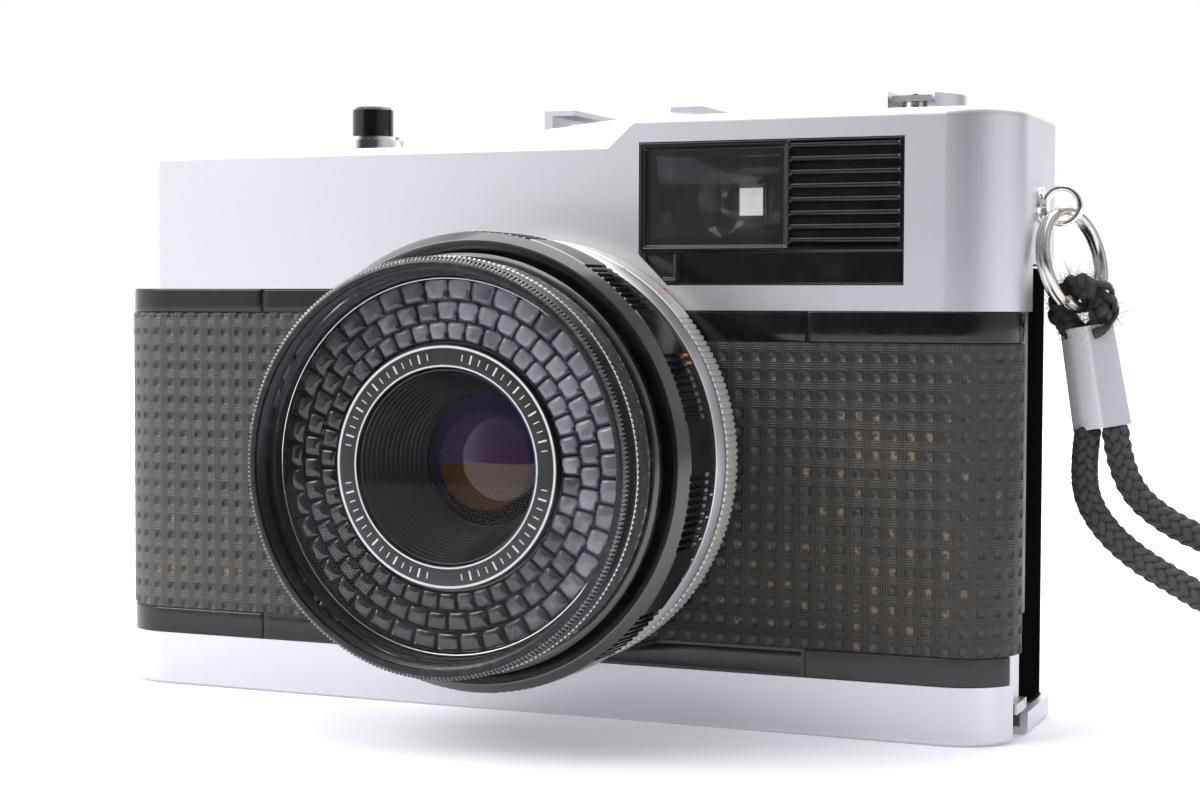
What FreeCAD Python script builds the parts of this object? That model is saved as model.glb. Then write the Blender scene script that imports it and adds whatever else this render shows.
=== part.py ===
import FreeCAD, Part
import math
import os

# Compact 35 mm viewfinder camera with a ring-shaped light meter around its lens.
# Millimetres. +X: towards the strap end, -Y: out of the lens, +Z: up.
# The origin is the mouth of the tripod socket, in the base plane and straight below the lens axis.

V = FreeCAD.Vector
X_AXIS, Y_AXIS, Z_AXIS = V(1, 0, 0), V(0, 1, 0), V(0, 0, 1)

# Overall body
LEFT, RIGHT = -60.0, 56.0
FRONT, REAR = -14.5, 14.5
FRONT_CORNER, REAR_CORNER = 7.5, 7.0
SHEET = 0.9                       # wall of the pressed covers
BASE_TOP = 6.6                    # upper edge of the bottom cover at the front
DOOR_LOW, DOOR_HIGH = 3.0, 52.8
COVER_LOW_RIGHT, COVER_LOW_LEFT = 47.85, 50.3
COVER_LOW_REAR = 53.2
COVER_STEP_X = -2.0               # where the front lower edge of the top cover steps, behind the lens
LOW_TOP, HIGH_TOP = 67.4, 70.2
STEP_FRONT_X, STEP_TURN_Y = 9.8, 3.9      # foot of the slanted step at the front face; where it turns straight back
TOP_EDGE = 1.0                    # rounding of the top edges

# Body casting and film path
CORE_FRONT, CORE_REAR = -14.1, 10.5
CORE_LOW, CORE_HIGH = 4.5, 55.5
CORE_LEFT, CORE_RIGHT = -59.5, 55.5
CORE_INSET = SHEET + 0.1
CHAMBER_LOW, CHAMBER_HIGH = 8.0, 53.0
GATE_WIDTH, GATE_HEIGHT = 36.0, 24.0
REWIND_X, REWIND_Y = 41.2, -0.2
CASSETTE_R = 12.8
END_WALL_Y = -3.9                 # the right-hand end wall of the casting stops here
SPOOL_X, SPOOL_Y, SPOOL_R = -44.0, -1.5, 6.5
SPROCKET_X, SPROCKET_Y, SPROCKET_R = -28.0, 3.0, 6.05
WHEEL_X, WHEEL_Y, WHEEL_R = -45.5, 7.8, 9.2
WHEEL_LOW, WHEEL_HIGH = 58.5, 62.3
GEAR_LOW, GEAR_HIGH = 56.0, 58.0
RUN = 0.05                        # radial running clearance

# Front covering
LEATHER_LOW = 9.8
LEATHER_HIGH_RIGHT, LEATHER_HIGH_LEFT = 44.3, 47.35
LEATHER_FACE, TRIM_FACE, PLATE_FACE = -14.6, -14.55, -14.35
PLATE_LEFT, PLATE_RIGHT = -37.6, 32.9

# Lens, all on one axis along Y
LENS_Z = 30.9
BARREL_R, FLANGE_R = 20.4, 22.3
BARREL_REAR = -13.2
FILTER_FRONT, FILTER_REAR, FILTER_R = -42.6, -39.3, 22.6
ACCESSORY_R = 21.45               # wall of the 43.5 mm accessory thread
FRONT_RING_REAR, FRONT_RING_R = -35.25, 22.3
ASA_FRONT, ASA_REAR = -35.1, -28.95
FOCUS_FRONT, FOCUS_REAR, FOCUS_R = -28.7, -22.15, 25.6
SKIRT_FRONT, SKIRT_BORE = -33.0, 22.7      # the focusing ring reaches forward over the film speed ring
SCALE_FRONT = -22.0
APERTURE_FRONT, APERTURE_REAR, APERTURE_R = -20.0, -15.1, 25.2
NAME_FRONT, NAME_INNER, NAME_OUTER = -38.9, 10.75, 13.25
CELL_OUTER = 20.3
PIVOT_OUT = 11.5                  # shutter and aperture blades turn this far below and above the lens axis

# Viewfinder
BEZEL = (12.65, 43.95, 50.7, 67.1)        # x and z limits
FINDER = (13.45, 30.05, 55.3, 66.2)
PEEP = (13.4, 16.9, 51.6, 54.2)
EYEPIECE = (12.0, 22.0, 57.0, 65.0)
EYE_MASK = (14.67, 18.97, 59.0, 63.1)
RIB_COUNT, RIB_PITCH = 8, 1.42
BEZEL_CUT, PEEP_RIM = 3.55, 0.4
BEZEL_BACK, WINDOW_FACE, PEEP_FLOOR, RIB_FLOOR = -13.6, -14.15, -13.75, -14.0
TUNNEL_FRONT, TUNNEL_REAR, TUNNEL_WALL = -13.5, 11.5, 0.6

# Top controls
BUTTON_X, BUTTON_Y, BUTTON_R, BUTTON_TOP = -28.8, -2.0, 2.6, 73.4
SHOE_X, SHOE_Y0, SHOE_Y1 = 4.9, -0.5, 14.0
SHOE_HALF, FOOT_HALF, LIP_HALF = 10.4, 9.35, 6.3
SHOE_CONTACT_Y = 7.0
SHOE_FLOOR, SHOE_LIP, SHOE_TOP = 69.75, 71.75, 72.35
KNOB_R, KNOB_LOW, KNOB_HIGH = 6.15, 70.4, 72.8
SLOT_X0, SLOT_X1 = -1.5, 3.7              # crank slot across the knob, from its axis
COUNTER_X, COUNTER_Y, COUNTER_R = -45.5, 0.0, 6.0

# Door, hinge and latch
HINGE_X, HINGE_Y, HINGE_R = -57.6, 12.3, 0.9
DOOR_WALL, DOOR_OUT, DOOR_RIGHT = 1.2, 14.0, 55.0
LATCH_Y0, LATCH_Y1 = -9.2, -4.2

# Strap
LUG_Y, LUG_Z, LUG_HOLE, LUG_RIM, LUG_WIDE = 0.5, 59.8, 1.7, 2.35, 1.6
LUG_REACH = 2.4                           # eye centre from the end of the body
RING_R, WIRE_R = 5.6, 0.52
RING_LEAN, RING_TURN = math.radians(12), math.radians(22)
LOOP_R, LOOP_CORD_R = 2.6, 1.3
CORD_R = 1.6
FERRULE_LENGTH = 11.6

PARTS = {}


def add(name, shape):
    """Keep one sub-part under its node name."""
    PARTS[name] = shape


def box(x0, x1, y0, y1, z0, z1):
    return Part.makeBox(x1 - x0, y1 - y0, z1 - z0, V(x0, y0, z0))


def post(x, y, z0, z1, r, hole=0.0):
    """Upright cylinder, or a tube when hole is given."""
    solid = Part.makeCylinder(r, z1 - z0, V(x, y, z0), Z_AXIS)
    if hole:
        solid = solid.cut(Part.makeCylinder(hole, z1 - z0 + 2, V(x, y, z0 - 1), Z_AXIS))
    return solid


def disc(y0, y1, r, hole=0.0):
    """Cylinder or tube on the lens axis, between two depths."""
    solid = Part.makeCylinder(r, y1 - y0, V(0, y0, LENS_Z), Y_AXIS)
    if hole:
        solid = solid.cut(Part.makeCylinder(hole, y1 - y0 + 2, V(0, y0 - 1, LENS_Z), Y_AXIS))
    return solid


def turned(profile):
    """Solid of revolution about the lens axis, from (radius, y) points."""
    points = [V(r, y, LENS_Z) for r, y in profile]
    face = Part.Face(Part.makePolygon(points + points[:1]))
    return face.revolve(V(0, 0, LENS_Z), Y_AXIS, 360)


def plan_prism(x0, x1, y0, y1, z0, z1, r_front, r_rear):
    """Upright prism with rounded front and rear corners."""
    def corner(cx, cy, r, a0):
        pts = []
        for a in (a0, a0 + 45, a0 + 90):
            t = math.radians(a)
            pts.append(V(cx + r * math.cos(t), cy + r * math.sin(t), z0))
        return Part.Arc(*pts).toShape(), pts[0], pts[2]
    arcs = [corner(x0 + r_front, y0 + r_front, r_front, 180),
            corner(x1 - r_front, y0 + r_front, r_front, 270),
            corner(x1 - r_rear, y1 - r_rear, r_rear, 0),
            corner(x0 + r_rear, y1 - r_rear, r_rear, 90)]
    edges = []
    for i, (arc, start, end) in enumerate(arcs):
        edges.append(arc)
        edges.append(Part.makeLine(end, arcs[(i + 1) % 4][1]))
    return Part.Face(Part.Wire(edges)).extrude(V(0, 0, z1 - z0))


def loft(points_a, points_b):
    wires = [Part.makePolygon([V(*p) for p in pts + pts[:1]]) for pts in (points_a, points_b)]
    return Part.makeLoft(wires, True, True)


def gear(x, y, z0, z1, tip, teeth, depth=0.6):
    """Plain spur gear with straight-sided teeth."""
    pts = []
    for i in range(teeth):
        for share, r in ((0.0, tip - depth), (0.3, tip - depth), (0.45, tip), (0.75, tip), (0.9, tip - depth)):
            a = 2 * math.pi * (i + share) / teeth
            pts.append(V(x + r * math.cos(a), y + r * math.sin(a), z0))
    return Part.Face(Part.makePolygon(pts + pts[:1])).extrude(V(0, 0, z1 - z0))


def step_cut(floor, shift):
    """Everything above the low, shutter-button part of the top: its edge runs slantwise back."""
    def outline(z):
        edge = STEP_FRONT_X + shift + (z - LOW_TOP) * 1.13
        turn = edge - 1.324 * (STEP_TURN_Y - FRONT)
        return [(LEFT - 5, FRONT - 5, z), (edge + 6.62, FRONT - 5, z), (turn, STEP_TURN_Y, z),
                (turn, REAR + 5, z), (LEFT - 5, REAR + 5, z)]
    return loft(outline(floor), outline(HIGH_TOP + 3))


def edges_between(shape, z0, z1, test=None):
    """Edges that lie wholly between two heights."""
    found = []
    for edge in shape.Edges:
        b = edge.BoundBox
        if b.ZMin >= z0 and b.ZMax <= z1 and (test is None or test(edge)):
            found.append(edge)
    return found


def make_top_cover():
    outer = plan_prism(LEFT, RIGHT, FRONT, REAR, COVER_LOW_RIGHT, HIGH_TOP, FRONT_CORNER, REAR_CORNER)
    outer = outer.cut(step_cut(LOW_TOP, 0))
    high = edges_between(outer, HIGH_TOP - 0.01, HIGH_TOP + 0.01)
    outer = outer.makeFillet(TOP_EDGE, high)
    low = edges_between(outer, LOW_TOP - 0.01, LOW_TOP + 0.01, lambda e: abs(e.CenterOfMass.x) > 30
                        or e.CenterOfMass.y < FRONT + 0.1 or e.CenterOfMass.y > REAR - 0.1)
    outer = outer.makeFillet(TOP_EDGE, low)
    inner = plan_prism(LEFT + SHEET, RIGHT - SHEET, FRONT + SHEET, REAR - SHEET, COVER_LOW_RIGHT - 1,
                       HIGH_TOP - SHEET, FRONT_CORNER - SHEET, REAR_CORNER - SHEET)
    inner = inner.cut(step_cut(LOW_TOP - SHEET, 1.6))
    cover = outer.cut(inner)
    cover = cover.cut(box(LEFT - 1, COVER_STEP_X, FRONT - 1, END_WALL_Y, COVER_LOW_RIGHT - 1, COVER_LOW_LEFT))
    cover = cover.cut(box(LEFT - 1, RIGHT + 1, END_WALL_Y, REAR + 1, COVER_LOW_RIGHT - 1, COVER_LOW_REAR))
    cover = cover.cut(bezel_outline(FRONT - 1, FRONT + SHEET + 0.5))
    cover = cover.cut(disc(FRONT - 1, CORE_FRONT, FLANGE_R + 0.1))
    cover = cover.cut(disc(FRONT - 1, BARREL_REAR + 0.1, BARREL_R + 0.05))
    x0, x1, z0, z1 = EYEPIECE
    cover = cover.cut(box(x0, x1, REAR - SHEET - 0.5, REAR + 1, z0, z1))
    cover = cover.cut(box(SHOE_X - SHOE_HALF, SHOE_X + SHOE_HALF, SHOE_Y0, SHOE_Y1, 68.5, 71))
    cover = cover.cut(post(BUTTON_X, BUTTON_Y, 60, 72, BUTTON_R + 0.1))
    cover = cover.cut(post(COUNTER_X, COUNTER_Y - 3.8, 60, 72, 2.4))
    cover = cover.cut(post(REWIND_X, REWIND_Y, 60, 72, 3.05))
    slot = WHEEL_R + 0.4
    cover = cover.cut(box(WHEEL_X - slot, WHEEL_X + slot, REAR - 2, REAR + 1, WHEEL_LOW - 0.3, WHEEL_HIGH + 0.3))
    for x in (LEFT, RIGHT):
        cover = cover.cut(Part.makeCylinder(1.3, 6, V(x - 3, LUG_Y, LUG_Z), X_AXIS))
    add("top_cover", cover)


def make_bottom_cover():
    outer = plan_prism(LEFT, RIGHT, FRONT, REAR, 0, BASE_TOP, FRONT_CORNER, REAR_CORNER)
    outer = outer.makeFillet(0.7, edges_between(outer, -0.01, 0.01))
    cover = outer.cut(plan_prism(LEFT + SHEET, RIGHT - SHEET, FRONT + SHEET, REAR - SHEET, SHEET, BASE_TOP + 1,
                                 FRONT_CORNER - SHEET, REAR_CORNER - SHEET))
    cover = cover.cut(box(LEFT - 1, RIGHT + 1, END_WALL_Y, REAR + 1, DOOR_LOW - 0.4, BASE_TOP + 1))
    cover = cover.cut(box(RIGHT - 2.5, RIGHT + 1, LATCH_Y0 - 0.4, END_WALL_Y + 0.1, -1, BASE_TOP + 1))
    cover = cover.cut(post(0, 0, -1, 2, 4.6))
    cover = cover.cut(post(-20, 3, -1, 2, 2.0))
    for x, y in BASE_SCREWS:
        cover = cover.cut(post(x, y, -1, 2, 1.7))
    add("bottom_cover", cover)


BASE_SCREWS = [(-50, -6), (-50, 6), (30, -8), (46, 7)]
SHOE_SCREWS = [(SHOE_X + dx, y) for dx in (-6.5, 6.5) for y in (3, 11)]


def make_screws():
    heads = []
    for x, y in BASE_SCREWS:
        head = post(x, y, 0.15, CORE_LOW + 2, 0.8).fuse(post(x, y, 0.15, SHEET, 1.65))
        heads.append(head.cut(box(x - 2, x + 2, y - 0.2, y + 0.2, 0, 0.45)))
    for x, y in SHOE_SCREWS:
        head = post(x, y, SHOE_FLOOR - 1.5, SHOE_FLOOR + 0.1, 0.7).fuse(post(x, y, SHOE_FLOOR, SHOE_FLOOR + 0.4, 1.25))
        heads.append(head.cut(box(x - 2, x + 2, y - 0.15, y + 0.15, SHOE_FLOOR + 0.2, SHOE_FLOOR + 1)))
    add("case_screws", Part.makeCompound(heads))


def core_block():
    """Outside of the casting: wide where the covering is glued on, narrower inside the covers."""
    wide = plan_prism(CORE_LEFT, CORE_RIGHT, CORE_FRONT, CORE_REAR + 8, BASE_TOP, COVER_LOW_RIGHT,
                      FRONT_CORNER - 0.5, 4)
    slim = plan_prism(LEFT + CORE_INSET, RIGHT - CORE_INSET, FRONT + CORE_INSET, REAR - CORE_INSET, CORE_LOW,
                      CORE_HIGH, FRONT_CORNER - CORE_INSET, REAR_CORNER - CORE_INSET)
    ledge = plan_prism(CORE_LEFT, CORE_RIGHT, CORE_FRONT, CORE_REAR + 8, COVER_LOW_RIGHT, COVER_LOW_LEFT - 0.05,
                       FRONT_CORNER - 0.5, 4)
    ledge = ledge.common(box(LEFT, COVER_STEP_X - 0.1, FRONT, END_WALL_Y - 0.1, 40, 60))
    block = wide.fuse(slim).fuse(ledge)
    block = block.cut(box(LEFT - 1, RIGHT + 1, CORE_REAR, REAR + 9, 0, COVER_LOW_REAR))
    block = block.cut(box(DOOR_RIGHT - DOOR_WALL - 0.3, RIGHT + 1, END_WALL_Y, REAR + 9, 0, COVER_LOW_REAR))
    corner = box(40, RIGHT + 1, 0, REAR + 9, 0, COVER_LOW_REAR)
    corner = corner.cut(plan_prism(0, DOOR_RIGHT - DOOR_WALL - 0.3, -30, DOOR_OUT - DOOR_WALL - 0.3, -1,
                                   COVER_LOW_REAR + 1, 1, REAR_CORNER - DOOR_WALL))
    block = block.cut(corner)
    return block.cut(box(LEFT - 1, HINGE_X + 4, HINGE_Y - 2.1, REAR + 9, 0, COVER_LOW_REAR))


def make_casting():
    block = core_block()
    top = CHAMBER_HIGH
    cassette = post(REWIND_X, REWIND_Y, CHAMBER_LOW, top, CASSETTE_R)
    cassette = cassette.fuse(box(REWIND_X - CASSETTE_R, RIGHT + 1, REWIND_Y, REAR + 1, CHAMBER_LOW, top))
    block = block.cut(cassette)
    block = block.cut(box(-56, -20.5, -11.5, REAR + 1, CHAMBER_LOW, top))
    half_w, half_h = GATE_WIDTH / 2, GATE_HEIGHT / 2
    rear = [(x, CORE_REAR + 1, LENS_Z + z) for x, z in
            ((-half_w, -half_h), (half_w, -half_h), (half_w, half_h), (-half_w, half_h))]
    front = [(x * 0.72, -4.5, LENS_Z + (z - LENS_Z) * 0.72) for x, y, z in rear]
    block = block.cut(loft(front, rear))
    block = block.cut(disc(CORE_FRONT - 1, -3.9, 19.8))
    block = block.cut(disc(CORE_FRONT - 1, BARREL_REAR + 0.1, BARREL_R + 0.05))
    block = block.cut(box(PLATE_LEFT, PLATE_RIGHT, CORE_FRONT - 1, CORE_FRONT + 1, BASE_TOP, COVER_LOW_RIGHT))
    block = block.cut(box(PLATE_LEFT, COVER_STEP_X, CORE_FRONT - 1, CORE_FRONT + 1, 40, COVER_LOW_LEFT))
    block = block.fuse(post(BUTTON_X, BUTTON_Y, CORE_HIGH - 0.5, 61.5, 3.2))
    block = block.cut(post(BUTTON_X, BUTTON_Y, CORE_HIGH, 62, 1.5 + RUN))
    block = block.cut(post(REWIND_X, REWIND_Y, 50, 60, 3.3))
    block = block.cut(post(SPOOL_X, SPOOL_Y, 50, 60, 1.5 + RUN))
    block = block.cut(post(SPROCKET_X, SPROCKET_Y, 50, 60, 1.5 + RUN))
    block = block.cut(post(SPOOL_X, SPOOL_Y, CORE_LOW + 1, 20, 1.5 + RUN))
    block = block.cut(post(SPROCKET_X, SPROCKET_Y, CORE_LOW + 1, 20, 1.5 + RUN))
    block = block.fuse(post(WHEEL_X, WHEEL_Y, CORE_HIGH - 0.5, CORE_HIGH + 0.3, 2.6))
    block = block.cut(post(WHEEL_X, WHEEL_Y, CORE_HIGH - 1.4, 60, 1.5 + RUN))
    block = block.cut(post(0, 0, 0, 7.6, 4.1))
    block = block.cut(post(-20, 3, 0, 7.4, 1.9 + RUN))
    for x, y in BASE_SCREWS:
        block = block.cut(post(x, y, 0, 6.6, 0.8))
    roof = TUNNEL_WALL + 0.05
    block = block.cut(box(FINDER[0] - roof, FINDER[1] + roof, FRONT, REAR, FINDER[2] - roof, CORE_HIGH + 1))
    block = block.cut(box(CORE_RIGHT - 1.6, RIGHT + 1, LATCH_Y0 - 0.4, END_WALL_Y + 1, 0, 14))
    for z0, z1 in ((CORE_LOW, 6.0), (49.4, DOOR_HIGH - 0.4)):
        ear = post(HINGE_X, HINGE_Y, z0, z1, 1.7).fuse(box(HINGE_X - 1.7, HINGE_X + 1.7, 9.5, HINGE_Y, z0, z1))
        block = block.fuse(ear.cut(post(HINGE_X, HINGE_Y, 0, 60, HINGE_R)))
    block = block.fuse(box(CORE_LEFT + 0.6, HINGE_X + 1.7, 5, CORE_REAR - 0.4, CORE_LOW, BASE_TOP + 1))
    add("body_casting", block.removeSplitter())


def skin(face_y, z0, z1, x0, x1, end_y):
    """Thin covering bonded round the front of the casting, between two heights."""
    proud = CORE_FRONT - face_y
    layer = plan_prism(CORE_LEFT - proud, CORE_RIGHT + proud, face_y, CORE_REAR, z0, z1, FRONT_CORNER, 2)
    layer = layer.cut(plan_prism(CORE_LEFT, CORE_RIGHT, CORE_FRONT, CORE_REAR + 1, z0 - 1, z1 + 1,
                                 FRONT_CORNER - 0.5, 2))
    return layer.common(box(x0, x1, FRONT - 1, end_y, z0, z1))


def make_front():
    hole = disc(-20, 0, BARREL_R + RUN)
    plate = box(PLATE_LEFT, PLATE_RIGHT, CORE_FRONT, CORE_FRONT + 1, BASE_TOP, COVER_LOW_RIGHT)
    plate = plate.fuse(box(PLATE_LEFT, COVER_STEP_X, CORE_FRONT, CORE_FRONT + 1, BASE_TOP, COVER_LOW_LEFT))
    bands = [(PLATE_LEFT, PLATE_RIGHT, BASE_TOP, LEATHER_LOW),
             (PLATE_LEFT, COVER_STEP_X, LEATHER_HIGH_LEFT, COVER_LOW_LEFT),
             (COVER_STEP_X, PLATE_RIGHT, LEATHER_HIGH_RIGHT, COVER_LOW_RIGHT)]
    for x0, x1, z0, z1 in bands:
        plate = plate.fuse(box(x0, x1, PLATE_FACE, CORE_FRONT, z0, z1))
    plate = plate.cut(disc(FRONT - 1, CORE_FRONT, FLANGE_R + 0.1))
    add("front_plate", plate.cut(hole).removeSplitter())
    under_ring = disc(-20, 0, 22.6)
    left = skin(LEATHER_FACE, LEATHER_LOW, LEATHER_HIGH_LEFT, LEFT - 1, COVER_STEP_X, -5)
    right = skin(LEATHER_FACE, LEATHER_LOW, LEATHER_HIGH_RIGHT, COVER_STEP_X, RIGHT + 1, -7.2)
    add("leatherette_left", left.cut(under_ring))
    add("leatherette_right", right.cut(under_ring))
    trims = [(LEFT - 1, PLATE_LEFT, LEATHER_HIGH_LEFT, COVER_LOW_LEFT, -5),
             (PLATE_RIGHT, RIGHT + 1, LEATHER_HIGH_RIGHT, COVER_LOW_RIGHT, -7.6),
             (LEFT - 1, PLATE_LEFT, BASE_TOP, LEATHER_LOW, -5),
             (PLATE_RIGHT, RIGHT + 1, BASE_TOP, LEATHER_LOW, -10)]
    add("front_trims", Part.makeCompound([skin(TRIM_FACE, z0, z1, x0, x1, y1) for x0, x1, z0, z1, y1 in trims]))


def bezel_outline(y0, y1, inset=0.0):
    """Finder bezel: a rectangle whose corner beside the lens is cut off."""
    x0, x1, z0, z1 = BEZEL[0] + inset, BEZEL[1] - inset, BEZEL[2] + inset, BEZEL[3] - inset
    cut = BEZEL_CUT - 0.6 * inset
    pts = [V(x, y0, z) for x, z in ((x0, z1), (x0, z0 + cut), (x0 + cut, z0), (x1, z0), (x1, z1), (x0, z1))]
    return Part.Face(Part.makePolygon(pts)).extrude(V(0, y1 - y0, 0))


def make_finder():
    bezel = bezel_outline(TRIM_FACE, BEZEL_BACK)
    x0, x1, z0, z1 = FINDER
    bezel = bezel.cut(box(x0, x1, FRONT - 1, FRONT + 3, z0, z1))
    p0, p1, q0, q1 = PEEP
    peep = box(p0, p1, FRONT - 1, PEEP_FLOOR, q0, q1).common(bezel_outline(FRONT - 1, REAR, PEEP_RIM))
    bezel = bezel.cut(peep)
    for i in range(RIB_COUNT):
        z = z0 - 0.1 + i * RIB_PITCH
        bezel = bezel.cut(box(x1 + 0.5, BEZEL[1] - 0.3, FRONT - 1, RIB_FLOOR, z, z + RIB_PITCH - 0.35))
    add("finder_bezel", bezel)
    window = box(x0, x1, WINDOW_FACE, BEZEL_BACK, z0, z1)
    add("finder_windows", Part.makeCompound([window, peep.common(box(p0, p1, WINDOW_FACE, REAR, q0, q1))]))
    tunnel = box(x0 - TUNNEL_WALL, x1 + TUNNEL_WALL, TUNNEL_FRONT, TUNNEL_REAR, z0 - TUNNEL_WALL, z1 + TUNNEL_WALL)
    e0, e1, f0, f1 = EYE_MASK
    near = [(x, TUNNEL_FRONT - 0.5, z) for x, z in ((x0, z0), (x1, z0), (x1, z1), (x0, z1))]
    far = [(x, TUNNEL_REAR + 0.5, z) for x, z in ((e0, f0), (e1, f0), (e1, f1), (e0, f1))]
    add("finder_tunnel", tunnel.cut(loft(near, far)))
    x0, x1, z0, z1 = EYEPIECE
    add("finder_eyepiece", box(x0, x1, 11.6, REAR - 0.3, z0, z1))


def make_shoe():
    base = box(SHOE_X - SHOE_HALF, SHOE_X + SHOE_HALF, SHOE_Y0, SHOE_Y1, SHOE_FLOOR - 0.5, SHOE_FLOOR)
    for side in (-1, 1):
        outer, foot, lip = (SHOE_X + side * w for w in (SHOE_HALF, FOOT_HALF, LIP_HALF))
        base = base.fuse(box(min(outer, foot), max(outer, foot), SHOE_Y0, SHOE_Y1, SHOE_FLOOR, SHOE_TOP))
        base = base.fuse(box(min(outer, lip), max(outer, lip), SHOE_Y0, SHOE_Y1, SHOE_LIP, SHOE_TOP))
    base = base.fuse(box(SHOE_X - 7, SHOE_X + 7, SHOE_Y0, SHOE_Y0 + 0.8, SHOE_FLOOR, SHOE_FLOOR + 1.0))
    for x, y in SHOE_SCREWS:
        base = base.cut(post(x, y, 60, SHOE_FLOOR + 0.01, 0.7))
    base = base.cut(post(SHOE_X, SHOE_CONTACT_Y, 60, 71, 2.6))
    add("accessory_shoe", base.removeSplitter())
    insulator = post(SHOE_X, SHOE_CONTACT_Y, SHOE_FLOOR - 0.8, SHOE_FLOOR - 0.05, 2.6)
    add("shoe_contact", insulator.fuse(post(SHOE_X, SHOE_CONTACT_Y, SHOE_FLOOR - 0.05, SHOE_FLOOR + 0.15, 1.1)))


def make_release():
    collar = post(BUTTON_X, BUTTON_Y, LOW_TOP, 69.1, 4.2).fuse(post(BUTTON_X, BUTTON_Y, 69.1, 69.6, 3.65))
    add("release_collar", collar.cut(post(BUTTON_X, BUTTON_Y, 60, 70, BUTTON_R + RUN)))
    bevel = 0.35
    button = post(BUTTON_X, BUTTON_Y, 68.7, BUTTON_TOP - bevel, BUTTON_R)
    button = button.fuse(Part.makeCone(BUTTON_R, BUTTON_R - bevel, bevel, V(BUTTON_X, BUTTON_Y, BUTTON_TOP - bevel)))
    button = button.fuse(post(BUTTON_X, BUTTON_Y, 58.5, 69.0, 1.5)).removeSplitter()
    add("shutter_button", button.cut(post(BUTTON_X, BUTTON_Y, BUTTON_TOP - 4, BUTTON_TOP + 1, 1.3)))
    add("release_spring", post(BUTTON_X, BUTTON_Y, 61.6, 68.6, 2.3, 1.75))
    add("counter_window", post(COUNTER_X, COUNTER_Y - 3.8, LOW_TOP - SHEET, LOW_TOP - 0.05, 2.4))
    dial = post(COUNTER_X, COUNTER_Y, 64.6, 65.3, COUNTER_R)
    add("counter_dial", dial.fuse(post(COUNTER_X, COUNTER_Y, 62.8, 66.3, 0.9)))


def make_advance():
    wheel = gear(WHEEL_X, WHEEL_Y, WHEEL_LOW, WHEEL_HIGH, WHEEL_R, 48, 0.35)
    wheel = wheel.fuse(post(WHEEL_X, WHEEL_Y, CORE_HIGH - 1.2, 66.0, 1.5))
    pinion = gear(WHEEL_X, WHEEL_Y, GEAR_LOW, GEAR_HIGH + 0.6, 4.3, 18)
    add("advance_wheel", wheel.fuse(pinion))
    spool = post(SPOOL_X, SPOOL_Y, CHAMBER_LOW + 0.4, CHAMBER_HIGH - 0.4, SPOOL_R)
    for i in range(6):
        slit = box(SPOOL_R - 1.5, SPOOL_R + 1, -0.6, 0.6, 14, 47)
        slit.rotate(V(0, 0, 0), Z_AXIS, 60 * i)
        slit.translate(V(SPOOL_X, SPOOL_Y, 0))
        spool = spool.cut(slit)
    spool = spool.fuse(post(SPOOL_X, SPOOL_Y, CORE_LOW + 1.2, GEAR_HIGH, 1.5))
    add("takeup_spool", spool.fuse(gear(SPOOL_X, SPOOL_Y, GEAR_LOW, GEAR_HIGH, 5.05, 21)))
    sprocket = post(SPROCKET_X, SPROCKET_Y, CHAMBER_LOW + 0.4, CHAMBER_HIGH - 0.4, 4.6)
    for z in (LENS_Z - 15.9, LENS_Z + 13.9):
        sprocket = sprocket.fuse(gear(SPROCKET_X, SPROCKET_Y, z, z + 2, SPROCKET_R + 0.9, 8, 1.1))
    add("film_sprocket", sprocket.fuse(post(SPROCKET_X, SPROCKET_Y, CORE_LOW + 1.2, CORE_HIGH + 0.4, 1.5)))


def make_rewind():
    cx, cy = REWIND_X, REWIND_Y
    add("rewind_sleeve", post(cx, cy, 60, 70.1, 3.0, 1.6 + RUN))
    shaft = post(cx, cy, 51.5, KNOB_LOW + 0.1, 1.6)
    blade = box(cx - 2.7, cx + 2.7, cy - 0.6, cy + 0.6, 47.2, 51.7)
    blade = blade.cut(box(cx - 0.9, cx + 0.9, cy - 1, cy + 1, 47, 49.5))
    add("rewind_shaft", shaft.fuse(blade))
    knob = post(cx, cy, KNOB_LOW, KNOB_HIGH, KNOB_R)
    knob = knob.makeFillet(0.35, edges_between(knob, KNOB_HIGH - 0.01, KNOB_HIGH + 0.01))
    knob = knob.cut(post(cx, cy, KNOB_LOW - 1, KNOB_LOW + 0.1, 1.6))
    knob = knob.cut(box(cx + SLOT_X0, cx + SLOT_X1, cy - 8, cy + 8, 70.8, 75))
    pin = Part.makeCylinder(0.45, 6.2, V(cx + SLOT_X0 - 0.5, cy + 4.5, 72.0), X_AXIS)
    knob = knob.fuse(pin.cut(box(cx - 9, cx + 9, cy + 4.5, cy + 9, 72.9, 75)))
    add("rewind_knob", knob)
    arm = box(cx + SLOT_X0 + 0.3, cx + SLOT_X1 - 0.3, cy - 5.2, cy + 5.1, 71.65, 72.35)
    eye = Part.makeCylinder(0.75, SLOT_X1 - SLOT_X0 - 0.6, V(cx + SLOT_X0 + 0.3, cy + 4.5, 72.0), X_AXIS)
    arm = arm.fuse(eye).cut(Part.makeCylinder(0.45 + RUN, 8, V(cx - 3, cy + 4.5, 72.0), X_AXIS))
    arm = arm.cut(post(cx + 1.1, cy - 3.6, 71, 73, 0.5 + RUN))
    add("rewind_crank", arm)
    handle = post(cx + 1.1, cy - 3.6, 70.95, 71.6, 1.4).fuse(post(cx + 1.1, cy - 3.6, 71.5, 72.4, 0.5))
    add("crank_handle", handle.fuse(post(cx + 1.1, cy - 3.6, 72.4, 72.55, 0.8)))


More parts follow.
